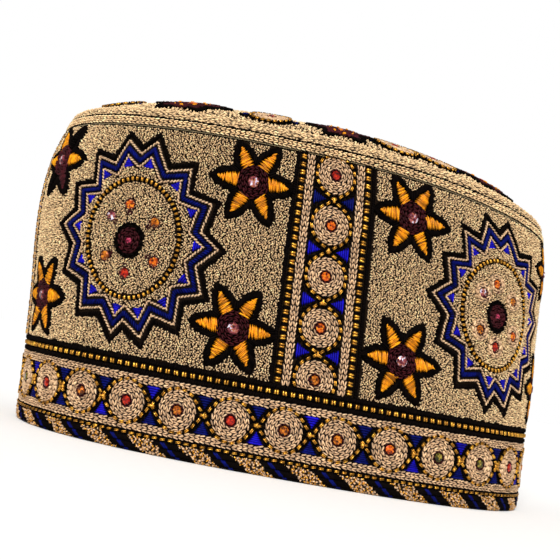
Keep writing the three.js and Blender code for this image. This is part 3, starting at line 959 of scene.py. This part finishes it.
def star_path(middle, half, point, notch):
    """Closed zigzag through the points and notches of a star, at shares of their reach."""
    rows = np.array(STAR_ROWS)
    bearing = np.radians(rows[:, (0, 2)].ravel())
    reach = (rows[:, (1, 3)] * (point, notch)).ravel()
    path = np.stack([middle[0] + half[0] * reach * np.sin(bearing),
                     middle[1] + half[1] * reach * np.cos(bearing)], -1)
    return np.concatenate([path, path[:1]])


def flower_path(middle, rows, scale=1.0, wide=FLOWER_WIDE):
    """Closed outline of six petals from half a petal's rows."""
    half = [(radius, -turn) for radius, turn in rows]
    petal = half + [(radius, turn) for radius, turn in rows[-2::-1]]
    path = []
    for k in range(6):
        for radius, turn in petal[:-1]:
            angle = math.radians(30 + 60 * k + turn)
            path.append((middle[0] + radius * scale * wide * math.sin(angle),
                         middle[1] + radius * scale * math.cos(angle)))
    return np.array(path + path[:1])


def inside_path(x, y, path):
    """Even-odd test of points against a closed flat path."""
    inside = np.zeros(np.shape(x), bool)
    for (x0, y0), (x1, y1) in zip(path[:-1], path[1:]):
        if y0 != y1:
            inside ^= ((y0 > y) != (y1 > y)) & (x < (x1 - x0) * (y - y0) / (y1 - y0) + x0)
    return inside


def everywhere(x, y):
    """A field that is free all over."""
    return np.ones(np.shape(x), bool)


def ring_strands(middle, radius, length, count):
    """Starts and ends of short strands set round a circle."""
    angle = np.arange(count) * 2 * np.pi / count
    out = np.stack([np.sin(angle), np.cos(angle)], -1)
    along = np.stack([np.cos(angle), -np.sin(angle)], -1) * length / 2
    points = np.array(middle) + out * radius
    return points - along, points + along


def stitch_socket(work, middle, radius, length, lift):
    """A dark ring round a small stone."""
    ring = ring_strands(middle, radius, length, 8)
    work.strands(*ring, width=0.7, height=0.8, thread=MAROON, lift=lift)


def stitch_flower(work, middle, petals, glass=AURORA_GLASS, scale=1.0, wide=FLOWER_WIDE, lift=0.0):
    """A six-petalled flower: ragged satin petals, a heavy outline and a heart of chain-stitch rings."""
    inner = flower_path(middle, PETAL_INSIDE, scale, wide)
    outer = flower_path(middle, PETAL_OUTSIDE, scale, wide)
    work.satin(inner, outer, BLACK, step=0.75, height=1.0, lift=lift)
    radius, turn = np.array(PETAL_INSIDE[1:]).T
    reach, half = radius * np.cos(np.radians(turn)), radius * np.sin(np.radians(turn))
    places = np.arange(reach[0], reach[-1] - PETAL_TIP, PETAL_STEP / scale)
    count = len(places)
    for k, petal in enumerate(petals):
        angle = math.radians(30 + 60 * k)
        out = np.array([math.sin(angle) * wide, math.cos(angle)]) * scale
        side = np.array([math.cos(angle) * wide, -math.sin(angle)]) * scale
        span = np.interp(places, reach, half)[:, None] + work.random.uniform(0.1, 0.65, (2, count, 1))
        lean = work.random.normal(0.4, 0.3, (count, 1))
        rise = lift + work.random.uniform(0, 0.35, count)
        axis = np.array(middle) + out * places[:, None]
        start = axis - side * span[0] - out * lean
        end = axis + side * span[1] + out * lean
        work.strands(start, end, width=0.76, height=0.95, thread=petal, lift=rise, vary=0.5)
    eye, heart = HEART_EYE * scale, FLOWER_HEART * scale
    work.rings(middle, eye, heart, 3, MAROON, height=1.0, lift=lift + 0.15, wide=wide)
    work.stone(middle, radius=2.0, height=1.0, glass=glass, lift=lift + 0.5)


def stitch_roundel(work, middle, glass, wide=1.0, lift=0.0):
    """A disc of chain-stitch rings round a small stone."""
    work.rings(middle, ROUNDEL_EYE, ROUNDEL_DISC, 3, ROSE, lift=lift + 0.1, wide=wide)
    stitch_socket(work, middle, radius=2.0, length=1.75, lift=lift + 0.1)
    work.stone(middle, radius=1.6, height=0.8, glass=glass, lift=lift + 0.35)


def link_triangle(work, middle, sizes, way, thread):
    """A small satin triangle that points from one side at the middle between two roundels."""
    tip, base, half = sizes
    side = np.array((-way[1], way[0])) * half
    foot = np.array(middle) + np.array(way) * base
    work.triangle((np.array(middle) + np.array(way) * tip, foot + side, foot - side), thread)


def link_knot(work, middle, half, upright):
    """Two metal strands that cross in the middle between two roundels."""
    low, high = KNOT_SPREAD
    starts = np.array([(-half, -low), (-half, low)])
    ends = np.array([(half, high), (half, -high)])
    if upright:
        starts, ends = starts[:, ::-1], ends[:, ::-1]
    work.strands(starts + middle, ends + middle, width=1.0, height=1.0, thread=GOLD, lift=0.4)


def star_triangles(middle, half):
    """Closed outline of the small triangle under each point of a star."""
    tip, foot, spread = STAR_TRIANGLE
    outlines = []
    for bearing, reach, _, _ in STAR_ROWS:
        angle = math.radians(bearing)
        out = np.array([half[0] * math.sin(angle), half[1] * math.cos(angle)]) * reach
        side = np.array([-out[1], out[0]]) / np.linalg.norm(out) * spread * (half[1] / STAR_HALF[1])
        top, base = middle + out * tip, middle + out * foot
        outlines.append(np.array((top, base + side, base - side, top)))
    return outlines


def stitch_star(work, middle, half, rosettes=False):
    """A star medallion: zigzag outlines, small triangles, a checked ring, stones and a dark core."""
    scale = np.array(half) / STAR_HALF
    middle = np.array(middle)
    for outer, inner, notch_out, notch_in, thread in STAR_ZIGZAGS:
        inner_path = star_path(middle, half, inner, notch_in)
        work.satin(inner_path, star_path(middle, half, outer, notch_out), thread)
    for shares in STAR_OUTLINES:
        outline = star_path(middle, half, *shares)
        work.rope(outline, 0.8, ROSE, step=1.15, slant=1.8, height=0.7, thick=0.75)
    triangles = star_triangles(middle, half)
    for corners in triangles:
        work.triangle(corners[:3], BLUE)
    ring_middle = middle + STAR_RING_SHIFT * scale
    ring = STAR_RING * scale
    work.checks(oval_path(ring_middle, ring), 1.75, pitch=1.8, apart=0.11)
    core = middle + STAR_CORE_SHIFT * scale
    core_half = STAR_CORE * scale
    field, rim = (oval_path(ring_middle, ring, grow) for grow in RING_CLEAR)
    star = star_path(middle, half, *STAR_FIELD)

    def free(x, y):
        from_core = np.hypot(*((x, y) - core[:, None]) / core_half[:, None])
        inside = inside_path(x, y, field) & (from_core > 0.97)
        outside = inside_path(x, y, star) & ~inside_path(x, y, rim)
        for corners in triangles:
            outside &= ~inside_path(x, y, corners)
        return inside | outside

    work.fill(free, middle - half, middle + half, BEIGE)
    wide = core_half[0] / core_half[1]
    work.rings(core, STAR_HEART, core_half[1], 1, BLACK, height=1.0, lift=0.1, wide=wide)
    work.rings(core, STAR_EYE, STAR_HEART, 2, MAROON, height=1.0, lift=0.1, wide=wide)
    work.stone(tuple(core), radius=1.2, height=0.6, glass=MAGENTA_GLASS, lift=0.5)
    for across_by, up_by, glass in STAR_STONES:
        away = (across_by, up_by) * scale
        place = tuple(core + away)
        stitch_socket(work, place, radius=1.85, length=1.5, lift=0.1)
        bud = ring_strands(core + away * BUD_SHARE, radius=0.6, length=1.3, count=4)
        work.strands(*bud, width=0.7, height=0.9, thread=MAROON, lift=0.2)
        work.stone(place, radius=1.65, height=0.8, glass=glass, lift=0.3)
        if rosettes:
            work.rings(place, *ROSETTE, 1, ROSE, height=1.0, lift=0.3)


def guilloche(work, places, pitch, upright, shift):
    """Two metal cords that go round the roundels on opposite sides and cross between them."""
    half = pitch / 2
    lean = math.acos(ROUNDEL_LOOP / half)
    leave, swing = ROUNDEL_LOOP * math.cos(lean), ROUNDEL_LOOP * math.sin(lean)
    t = np.linspace(-half, half, LINK_POINTS + 1)[:-1]
    curve = np.sqrt(np.maximum(ROUNDEL_LOOP ** 2 - t ** 2, 0))
    straight = swing * (half - np.abs(t)) / (half - leave)
    link = np.where(np.abs(t) < leave, curve, straight)
    path = np.concatenate([np.stack([link * (-1) ** k, place + t], -1) for k, place in enumerate(places)])
    for side in (-1, 1):
        flat = path * (side, 1)
        work.dashes((flat if upright else flat[:, ::-1]) + shift, 1.1, lift=0.15)


def cloth_section(surface, rows):
    """Section of a cloth shell: its stitched face, painted near black as the shade between stitches, then its
    lining back the other way.
    """
    inside = CLOTH_FACE - mm(surface.sizes.cloth)
    return [(row, CLOTH_FACE, 0) for row in rows] + [(row, inside, 1) for row in rows[::-1]]


class CAP_OT_materials(bpy.types.Operator):
    """Threads, cloth and glass"""
    bl_idname = "cap.materials"
    bl_label = "Materials"

    def execute(self, context):
        colours = context.scene.cap_colours
        # Mercerised cotton: matt, slightly hairy, with a soft edge sheen.
        thread_material(BEIGE, colours.beige, roughness=0.85, sheen=0.08, gloss=0.2)
        thread_material(ROSE, colours.rose, roughness=0.8, sheen=0.08, gloss=0.2)
        thread_material(BLACK, colours.black, roughness=0.85, sheen=0.0, gloss=0.03)
        # Floss silk: smoother, with a low gloss along the stitch.
        thread_material(NAVY, colours.navy, roughness=0.6, sheen=0.0, gloss=0.05)
        thread_material(BLUE, colours.blue, roughness=0.6, sheen=0.0, gloss=0.1)
        thread_material(ORANGE, colours.orange, roughness=0.5, sheen=0.0, gloss=0.2)
        thread_material(MAROON, colours.maroon, roughness=0.55, sheen=0.0, gloss=0.12)
        # Gilt metal strip wound on thread: broken glints.
        thread_material(GOLD, colours.gold, roughness=0.28, sheen=0.0, gloss=0.5, metallic=0.8, fibre=0.45)
        # Plain cotton under the stitches, painted near black as the shade between them, and inside.
        cloth_material(GAP_SHADE, colours.gap_shade, weave_mm=0.7)
        cloth_material(LINING, colours.lining, weave_mm=0.8)
        # Cut glass, from its darkest facet through its own colour to its brightest: painted shade and painted
        # highlights of the reflections in the glass.
        glass_material(RED_GLASS, "#2A0202", colours.red_glass, "#D03810")
        glass_material(ORANGE_GLASS, "#3A0A02", colours.orange_glass, "#F0901A")
        glass_material(AMBER_GLASS, "#1E0A02", colours.amber_glass, "#E08820")
        glass_material(OLIVE_GLASS, "#12120A", colours.olive_glass, "#B09838")
        aurora = ("#220A12", "#6A2630", "#9A4A50", "#B06A30", colours.aurora_glass, "#F4F0FA")
        glass_material(AURORA_GLASS, *aurora)
        glass_material(MAGENTA_GLASS, "#22040C", colours.magenta_glass, "#E04A70")
        self.floor(colours.floor)
        return {"FINISHED"}

    @staticmethod
    def floor(colour):
        """Matt painted board with a faint grain"""
        tree, shader = new_material("painted_floor", **{"Roughness": 0.8})
        place = add_node(tree, "ShaderNodeTexCoord").outputs["Object"]
        fine = {"Vector": place, "Scale": 1 / FLOOR_GRAIN, "Detail": 2.0}
        grain = add_node(tree, "ShaderNodeTexNoise", fine)
        ramp = add_node(tree, "ShaderNodeValToRGB", {"Fac": grain.outputs["Fac"]})
        stops(ramp, (0.3, shaded(linear(colour), 0.985)), (0.7, linear(colour)))
        tree.links.new(ramp.outputs["Color"], shader.inputs["Base Color"])


class CAP_OT_wall(bpy.types.Operator):
    """Cloth wall with its looped ground and the lines of its border and bands"""
    bl_idname = "cap.wall"
    bl_label = "Wall and Ground"

    def execute(self, context):
        surface = CapSurface(context.scene.cap_sizes)
        section = cloth_section(surface, WALL_ROWS)
        wall = sweep("cap_wall", surface, section, surface.on_design, CLOTHS)
        attach(wall, "ground_thread", "wall")
        self.ground(surface)
        self.lines(surface)
        return {"FINISHED"}

    @staticmethod
    def ground(surface):
        """Small loops wherever no motif lies"""
        work = Stitches(11)
        half = surface.girth / 2

        def free(x, y):
            keep = (y > BORDER_TOP) & (y < BAND_HIGH - 0.4)
            for band in band_middles(surface):
                keep &= np.abs(surface.way_round(x - band)) > BAND_EDGE
            for along, height in flower_middles(surface):
                outline = flower_path((0, height), PETAL_OUTSIDE, FLOWER_CLEAR)
                keep &= ~inside_path(surface.way_round(x - along), y, outline)
            for along, height in star_middles(surface):
                outline = star_path((0, height), STAR_HALF, *STAR_CLEAR)
                keep &= ~inside_path(surface.way_round(x - along), y, outline)
            return keep

        work.fill(free, (-half, BORDER_TOP), (half, BAND_HIGH), BEIGE)
        attach(work.make("wall_ground", surface, surface.on_design), "ground_thread", "wall")

    @staticmethod
    def lines(surface):
        """Lines round the border and up the bands"""
        work = Stitches(12)
        paths = [(kind, width, thread, surface.round_line(height))
                 for kind, height, width, thread in BORDER_LINES]
        for band in band_middles(surface) + BAND_SHIFT:
            for kind, away, width, thread in BAND_LINES:
                for x in (band - away, band + away):
                    paths.append((kind, width, thread, [(x, BAND_LOW), (x, BAND_HIGH)]))
        for kind, width, thread, path in paths:
            if kind == "rope":
                work.rope(path, width, thread)
            elif kind == "check":
                work.checks(path, width)
            elif kind == "dash":
                work.dashes(path, width, lift=0.1)
            else:
                work.chain(path, width, thread)
        attach(work.make("wall_lines", surface, surface.on_design), "ground_thread", "wall")


class CAP_OT_roundels(bpy.types.Operator):
    """Linked roundels of the border and of the upright bands, with their stones"""
    bl_idname = "cap.roundels"
    bl_label = "Border and Band Roundels"

    def execute(self, context):
        surface = CapSurface(context.scene.cap_sizes)
        self.border(surface)
        self.bands(surface)
        return {"FINISHED"}

    @staticmethod
    def border(surface):
        """One chain of roundels round the wall"""
        work = Stitches(21)
        half = surface.girth / 2
        pitch = surface.girth / BORDER_COUNT
        places = (np.arange(BORDER_COUNT) - BORDER_COUNT / 2 + 0.5) * pitch
        low, high = (-half, BORDER_LOW), (half, BORDER_HIGH)
        work.fill(everywhere, low, high, BLACK, **DARK_GROUND, height=0.35)
        for k, along in enumerate(places):
            stitch_roundel(work, (along, BORDER_HEIGHT), BORDER_STONES[k % len(BORDER_STONES)])
            gap = (along + pitch / 2, BORDER_HEIGHT)
            for up in (-1, 1):
                blue = BLUE if (k + up) % 3 == 0 else NAVY
                link_triangle(work, gap, BORDER_TRIANGLE, (0, up), blue)
            link_knot(work, gap, BORDER_KNOT, False)
        guilloche(work, places, pitch, False, (0, BORDER_HEIGHT))

        def drifted(along, height, out):
            drift = BORDER_DRIFT * np.sin(2 * np.pi * along / surface.girth) ** 2
            return surface.on_design(along + BORDER_PHASE + drift, height, out)

        attach(work.make("border_roundels", surface, drifted), "roundel_thread", "border_chain")

    @staticmethod
    def bands(surface):
        """A chain of roundels up each band"""
        work = Stitches(22)
        heights = BAND_TOP_ROUNDEL - BAND_PITCH * np.arange(BAND_ROUNDELS)
        for band in band_middles(surface) + BAND_SHIFT:
            low, high = (band - BAND_FIELD, BAND_LOW + 0.6), (band + BAND_FIELD, BAND_HIGH)
            work.fill(everywhere, low, high, BLACK, **DARK_GROUND, height=0.35)
            for height, glass in zip(heights, BAND_STONES):
                stitch_roundel(work, (band, height), glass)
            for height in heights[:-1] - BAND_PITCH / 2:
                for side in (-1, 1):
                    blue = NAVY if height > heights[1] else BLUE
                    link_triangle(work, (band, height), BAND_TRIANGLE, (side, 0), blue)
                link_knot(work, (band, height), BAND_KNOT, True)
            guilloche(work, heights[::-1], BAND_PITCH, True, (band, 0))

        def within(along, height, out):
            return surface.on_design(along, np.clip(height, BAND_LOW, BAND_HIGH), out)

        piece = work.make("band_roundels", surface, within)
        attach(piece, "roundel_thread", *[f"band_chain_{k + 1}" for k in range(BAND_COUNT)])


class CAP_OT_medallions(bpy.types.Operator):
    """Star medallions on the wall"""
    bl_idname = "cap.medallions"
    bl_label = "Medallions"

    def execute(self, context):
        surface = CapSurface(context.scene.cap_sizes)
        work = Stitches(31)
        for k, middle in enumerate(star_middles(surface)):
            stitch_star(work, middle, STAR_HALF, k == ROSETTE_STAR)
        piece = work.make("medallions", surface, surface.on_design)
        attach(piece, "medallion_thread", *[f"medallion_{k + 1}" for k in range(BAND_COUNT)])
        return {"FINISHED"}


class CAP_OT_flowers(bpy.types.Operator):
    """Six-petalled flowers and their crystals"""
    bl_idname = "cap.flowers"
    bl_label = "Flowers"

    def execute(self, context):
        surface = CapSurface(context.scene.cap_sizes)
        work, crystals = Stitches(41), Stitches(42)
        middles = flower_middles(surface)
        for k, middle in enumerate(middles):
            stitch_flower(work, middle, DARK_PETALS if k == DARK_FLOWER else PETALS)
        crystals.stone_rows, work.stone_rows = work.stone_rows, []
        piece = work.make("flowers", surface, surface.on_design)
        attach(piece, "petal_thread", *[f"flower_{k + 1:02d}" for k in range(len(middles))])
        stones = crystals.make("flower_crystals", surface, surface.on_design)
        attach(stones, "cut_crystal", *[f"flower_stone_{k + 1:02d}" for k in range(len(middles))])
        return {"FINISHED"}


class CAP_OT_hem(bpy.types.Operator):
    """Rolled hem with slanting stitched stripes"""
    bl_idname = "cap.hem"
    bl_label = "Hem"

    def execute(self, context):
        surface = CapSurface(context.scene.cap_sizes)
        roll = sweep("hem_roll", surface, HEM_SECTION, surface.on_wall, CLOTHS)
        attach(roll, "hem_thread", "hem_binding")
        attach(self.stripes(surface), "hem_thread", "hem_binding")
        return {"FINISHED"}

    @staticmethod
    def stripes(surface):
        """Dark stripes, blue in the middle, that slant down to the right between knotted pale ones."""
        work = Stitches(51)
        pitch = surface.girth / BORDER_COUNT
        rows = np.linspace(0, HEM_DEPTH, 4)
        places = (np.arange(BORDER_COUNT) + 0.5) * pitch + BORDER_PHASE
        for place in places + BORDER_DRIFT * np.sin(2 * np.pi * places / surface.girth) ** 2:
            for offset in np.arange(-STRIPE_HALF, STRIPE_HALF + 0.1, STRIPE_STEP):
                thread = NAVY if STRIPE_BLUE[0] < offset < STRIPE_BLUE[1] else BLACK
                x = place + STRIPE_PLACE + offset + rows * HEM_SLANT
                upper = np.stack([x[:-1], STRIPE_LAP - rows[:-1]], -1)
                lower = np.stack([x[1:], -STRIPE_LAP - rows[1:]], -1)
                work.strands(upper, lower, width=1.2, height=0.65, thread=thread)
            start, end = place + FIELD_ENDS[0], place + pitch + FIELD_ENDS[1]
            low, high = (start - 1, -HEM_DEPTH), (end + HEM_DEPTH * HEM_SLANT, 0.1)

            def between(x, y):
                return (x + y * HEM_SLANT > start) & (x + y * HEM_SLANT < end)

            for thread, step in FIELD_THREADS:
                work.fill(between, low, high, thread, across_step=step, up_step=0.85, length=1.7, width=0.95,
                          height=0.7, vary=0.25)

        def on_hem(along, down, out):
            bend = np.clip((-down - HEM_FACE) / HEM_ROUND, 0, np.pi / 2)
            turned = HEM_TOP - HEM_FACE - 1.15 * np.sin(bend)
            height = np.where(-down < HEM_FACE, HEM_TOP + down, turned) - out * np.sin(bend)
            face = 0.2 - 1.2 * (1 - np.cos(bend))
            return surface.on_wall(along, np.maximum(height, HEM_FLOOR), face + out * np.cos(bend))

        return work.make("hem_stripes", surface, on_hem)


class CAP_OT_crown(bpy.types.Operator):
    """Domed crown with its chain-stitched edge, padded welt and embroidered top"""
    bl_idname = "cap.crown"
    bl_label = "Crown and Welt"

    def execute(self, context):
        surface = CapSurface(context.scene.cap_sizes)
        section = cloth_section(surface, CROWN_ROWS[::-1])
        crown = sweep("crown_cloth", surface, section, surface.on_dome, CLOTHS, domed=True)
        attach(crown, "ground_thread", "crown")
        self.edge(surface)
        self.welt(surface)
        self.ring(surface)
        self.middle(surface)
        return {"FINISHED"}

    @staticmethod
    def edge(surface):
        """Chain rows between a dark seam line and a black line painted as the shadow at the welt's foot"""
        work = Stitches(61)
        dark = {"thread": BLACK, "step": 1.0, "slant": 1.0, "height": 0.6}
        work.rope(surface.round_line(SEAM_LINE), 0.7, lift=0.2, thick=0.8, **dark)
        for up in CROWN_CHAINS:
            work.chain(surface.round_line(up), 1.5, BEIGE)
        # Painted shadow: a thin black line at the welt's foot.
        work.rope(surface.round_line(WELT_SHADOW_LINE), 0.4, lift=0.1, thick=0.6, **dark)
        attach(work.make("crown_rows", surface, surface.on_dome), "ground_thread", "crown")

    @staticmethod
    def welt(surface):
        """A padded roll under fine threads that lie along it"""
        half = surface.girth / 2
        inset, sunk = WELT_FOOT

        def bulge(up):
            return WELT_RISE * np.sin(np.pi * (up - WELT_LOW) / (WELT_HIGH - WELT_LOW)) ** 0.6 - 0.2

        def rolled(along, up, out):
            return surface.on_dome(along, up, out + bulge(np.clip(up, WELT_LOW, WELT_HIGH)))

        section = [(up, float(bulge(up)), 0) for up in np.linspace(WELT_LOW, WELT_HIGH, 8)]
        section += [(up, sunk, 0) for up in (WELT_HIGH - inset, WELT_LOW + inset)]
        # The roll's cloth is painted near black as the shade between its threads.
        welt = sweep("welt_roll", surface, section, surface.on_dome, [GAP_SHADE])
        attach(welt, "welt_cord", "crown_welt")
        work = Stitches(62)
        low, high = (-half, WELT_LOW + inset), (half, WELT_HIGH)
        work.fill(everywhere, low, high, BEIGE, across_step=1.5, up_step=0.42, length=2.7, width=0.52,
                  height=0.42, turn=0.16, vary=0.24)
        attach(work.make("welt_stitches", surface, rolled), "welt_cord", "crown_welt")

    @staticmethod
    def ring_places(surface, row):
        """Places along the near edge of the crown, and again half a turn round."""
        return [half + place for half in (0, surface.girth / 2) for place in row]

    def ring(self, surface):
        """Dark flowers and gold-looped roundels round the edge"""
        work = Stitches(63)
        for along in self.ring_places(surface, CROWN_FLOWERS):
            middle = (along, CROWN_FLOWER_UP)
            stitch_flower(work, middle, (MAROON,) * 6, ORANGE_GLASS, scale=CROWN_FLOWER,
                          wide=CROWN_FLOWER_SPREAD, lift=0.2)
            heart = FLOWER_HEART * CROWN_FLOWER
            work.rings(middle, heart, CROWN_HEART, 2, MAROON, height=1.0, lift=0.5, wide=CROWN_SPREAD)
            stamens = ring_strands(middle, radius=6.0, length=2.2, count=8)
            work.strands(*stamens, width=0.9, height=1.0, thread=ORANGE, lift=0.8, vary=0.3)
        for along in self.ring_places(surface, CROWN_ROUNDELS):
            middle = np.array((along, CROWN_ROUNDEL_UP))
            low, high = middle - CROWN_PATCH, middle + CROWN_PATCH
            patch = oval_path(middle, CROWN_PATCH)
            work.fill(lambda x, y: inside_path(x, y, patch), low, high, BLACK, **DARK_GROUND, height=0.4)
            stitch_roundel(work, tuple(middle), RED_GLASS, CROWN_SPREAD, lift=0.2)
            loop = oval_path(middle, (ROUNDEL_LOOP * CROWN_SPREAD, ROUNDEL_LOOP))
            work.dashes(loop, 1.15, pitch=2.5, lift=0.35)
            for side in (-1, 1):
                link_triangle(work, middle, CROWN_TRIANGLE, (side, 0), NAVY)
        attach(work.make("crown_ring", surface, surface.on_dome), "ground_thread", "crown")

    def middle(self, surface):
        """The unseen middle: the wall's ground and star, worked smaller"""
        work = Stitches(64)
        star = star_path((0, 0), CROWN_STAR, *STAR_CLEAR)
        outline = flower_path((0, CROWN_FLOWER_UP), PETAL_OUTSIDE, CROWN_FLOWER, CROWN_FLOWER_SPREAD)
        patch = oval_path((0, CROWN_ROUNDEL_UP), CROWN_PATCH)

        def free(x, y):
            along, degrees = surface.crown_place(x, y)
            up = surface.dome_up(along, degrees)
            keep = (up > WELT_HIGH + 0.3) & (np.hypot(x, y) < surface.seam_reach(x, y))
            keep &= ~inside_path(x, y, star)
            for shape, row in ((outline, CROWN_FLOWERS), (patch, CROWN_ROUNDELS)):
                for place in self.ring_places(surface, row):
                    keep &= ~inside_path(surface.way_round(along - place), up, shape)
            return keep

        half = np.array(CROWN_HALF)
        work.fill(free, -half, half, BEIGE, across_step=1.2, up_step=0.72, length=1.6, width=0.74, height=0.5,
                  turn=0.8)
        stitch_star(work, (0, 0), CROWN_STAR)
        attach(work.make("crown_ground", surface, surface.on_crown), "ground_thread", "crown")


class CAP_OT_stage(bpy.types.Operator):
    """Pale floor, soft light and the camera"""
    bl_idname = "cap.stage"
    bl_label = "Stage"

    def execute(self, context):
        scene = context.scene
        scene.view_settings.view_transform = "Standard"
        work = bmesh.new()
        bmesh.ops.create_circle(work, cap_ends=True, radius=FLOOR_RADIUS, segments=FLOOR_SIDES)
        mesh = bpy.data.meshes.new("floor")
        work.to_mesh(mesh)
        work.free()
        mesh.materials.append(bpy.data.materials["painted_floor"])
        link_piece("floor", mesh)
        self.light(scene)
        self.camera(scene)
        return {"FINISHED"}

    @staticmethod
    def light(scene):
        """White all round, with one broad lamp in front and a faint one at the right"""
        world = bpy.data.worlds.new("studio")
        world.use_nodes = True
        tree = world.node_tree
        tree.nodes.clear()
        backdrop = add_node(tree, "ShaderNodeBackground", {"Color": (1, 1, 1, 1), "Strength": 1.0})
        ambient = add_node(tree, "ShaderNodeBackground", {"Color": (1, 1, 1, 1), "Strength": AMBIENT})
        seen = add_node(tree, "ShaderNodeLightPath").outputs["Is Camera Ray"]
        sides = {0: seen, 1: ambient.outputs[0], 2: backdrop.outputs[0]}
        both = add_node(tree, "ShaderNodeMixShader", sides)
        add_node(tree, "ShaderNodeOutputWorld", {"Surface": both.outputs[0]})
        scene.world = world
        lamps = (
            # (name, direction that the light comes from, angle it spreads over in degrees, strength)
            ("key", (-0.28, -0.96, 0.8), 22.0, 3.3),
            ("fill", (0.9, -0.5, 0.5), 40.0, 0.05),
        )
        for name, source, spread, strength in lamps:
            lamp = bpy.data.lights.new(name, "SUN")
            lamp.angle = math.radians(spread)
            lamp.energy = strength
            lamp_object = bpy.data.objects.new(name, lamp)
            lamp_object.rotation_euler = (-Vector(source)).to_track_quat("-Z", "Y").to_euler()
            scene.collection.objects.link(lamp_object)

    @staticmethod
    def camera(scene):
        """Just above the floor, turned to the left of the front band and tipped as a held camera"""
        # Angles are in radians; distance, height, sensor and lens in millimetres.
        turn, distance, height = 0.187, 450.0, 36.888
        yaw, pitch, roll = -0.018, 0.075, 0.189
        camera = bpy.data.cameras.new("camera")
        camera.sensor_width = 36.0
        camera.lens = 72.286
        camera.clip_start = 0.01
        view = bpy.data.objects.new("camera", camera)
        scene.collection.objects.link(view)
        heading = yaw + turn
        ahead = Vector((math.sin(heading), math.cos(heading), 0))
        forward = ahead * math.cos(pitch) + Vector((0, 0, math.sin(pitch)))
        level = Vector((math.cos(heading), -math.sin(heading), 0))
        rise = level.cross(forward)
        right = level * math.cos(roll) + rise * math.sin(roll)
        up = rise * math.cos(roll) - level * math.sin(roll)
        shift = mm(scene.cap_sizes.frame_shift)
        spot = Vector((-distance * math.sin(turn) + shift, -distance * math.cos(turn), height)) * 0.001
        view.matrix_world = Matrix.Translation(spot) @ Matrix((right, up, -forward)).transposed().to_4x4()
        scene.camera = view


class CAP_PT_panel(bpy.types.Panel):
    """Builds the cap piece by piece"""
    bl_idname = "CAP_PT_panel"
    bl_label = "Embroidered Cap"
    bl_space_type = "VIEW_3D"
    bl_region_type = "UI"
    bl_category = "Cap"

    def draw(self, context):
        for operator in OPERATORS:
            self.layout.operator(operator.bl_idname)


OPERATORS = (CAP_OT_materials, CAP_OT_wall, CAP_OT_roundels, CAP_OT_medallions, CAP_OT_flowers, CAP_OT_hem,
             CAP_OT_crown, CAP_OT_stage)
CLASSES = (CapSizes, CapColours) + OPERATORS + (CAP_PT_panel,)


def register():
    for cls in CLASSES:
        bpy.utils.register_class(cls)
    bpy.types.Scene.cap_sizes = PointerProperty(type=CapSizes)
    bpy.types.Scene.cap_colours = PointerProperty(type=CapColours)


def unregister():
    del bpy.types.Scene.cap_colours
    del bpy.types.Scene.cap_sizes
    for cls in reversed(CLASSES):
        bpy.utils.unregister_class(cls)


def main():
    register()
    bpy.ops.cap.materials()
    bpy.ops.cap.wall()
    bpy.ops.cap.roundels()
    bpy.ops.cap.medallions()
    bpy.ops.cap.flowers()
    bpy.ops.cap.hem()
    bpy.ops.cap.crown()
    bpy.ops.cap.stage()


if __name__ == "__main__":
    main()
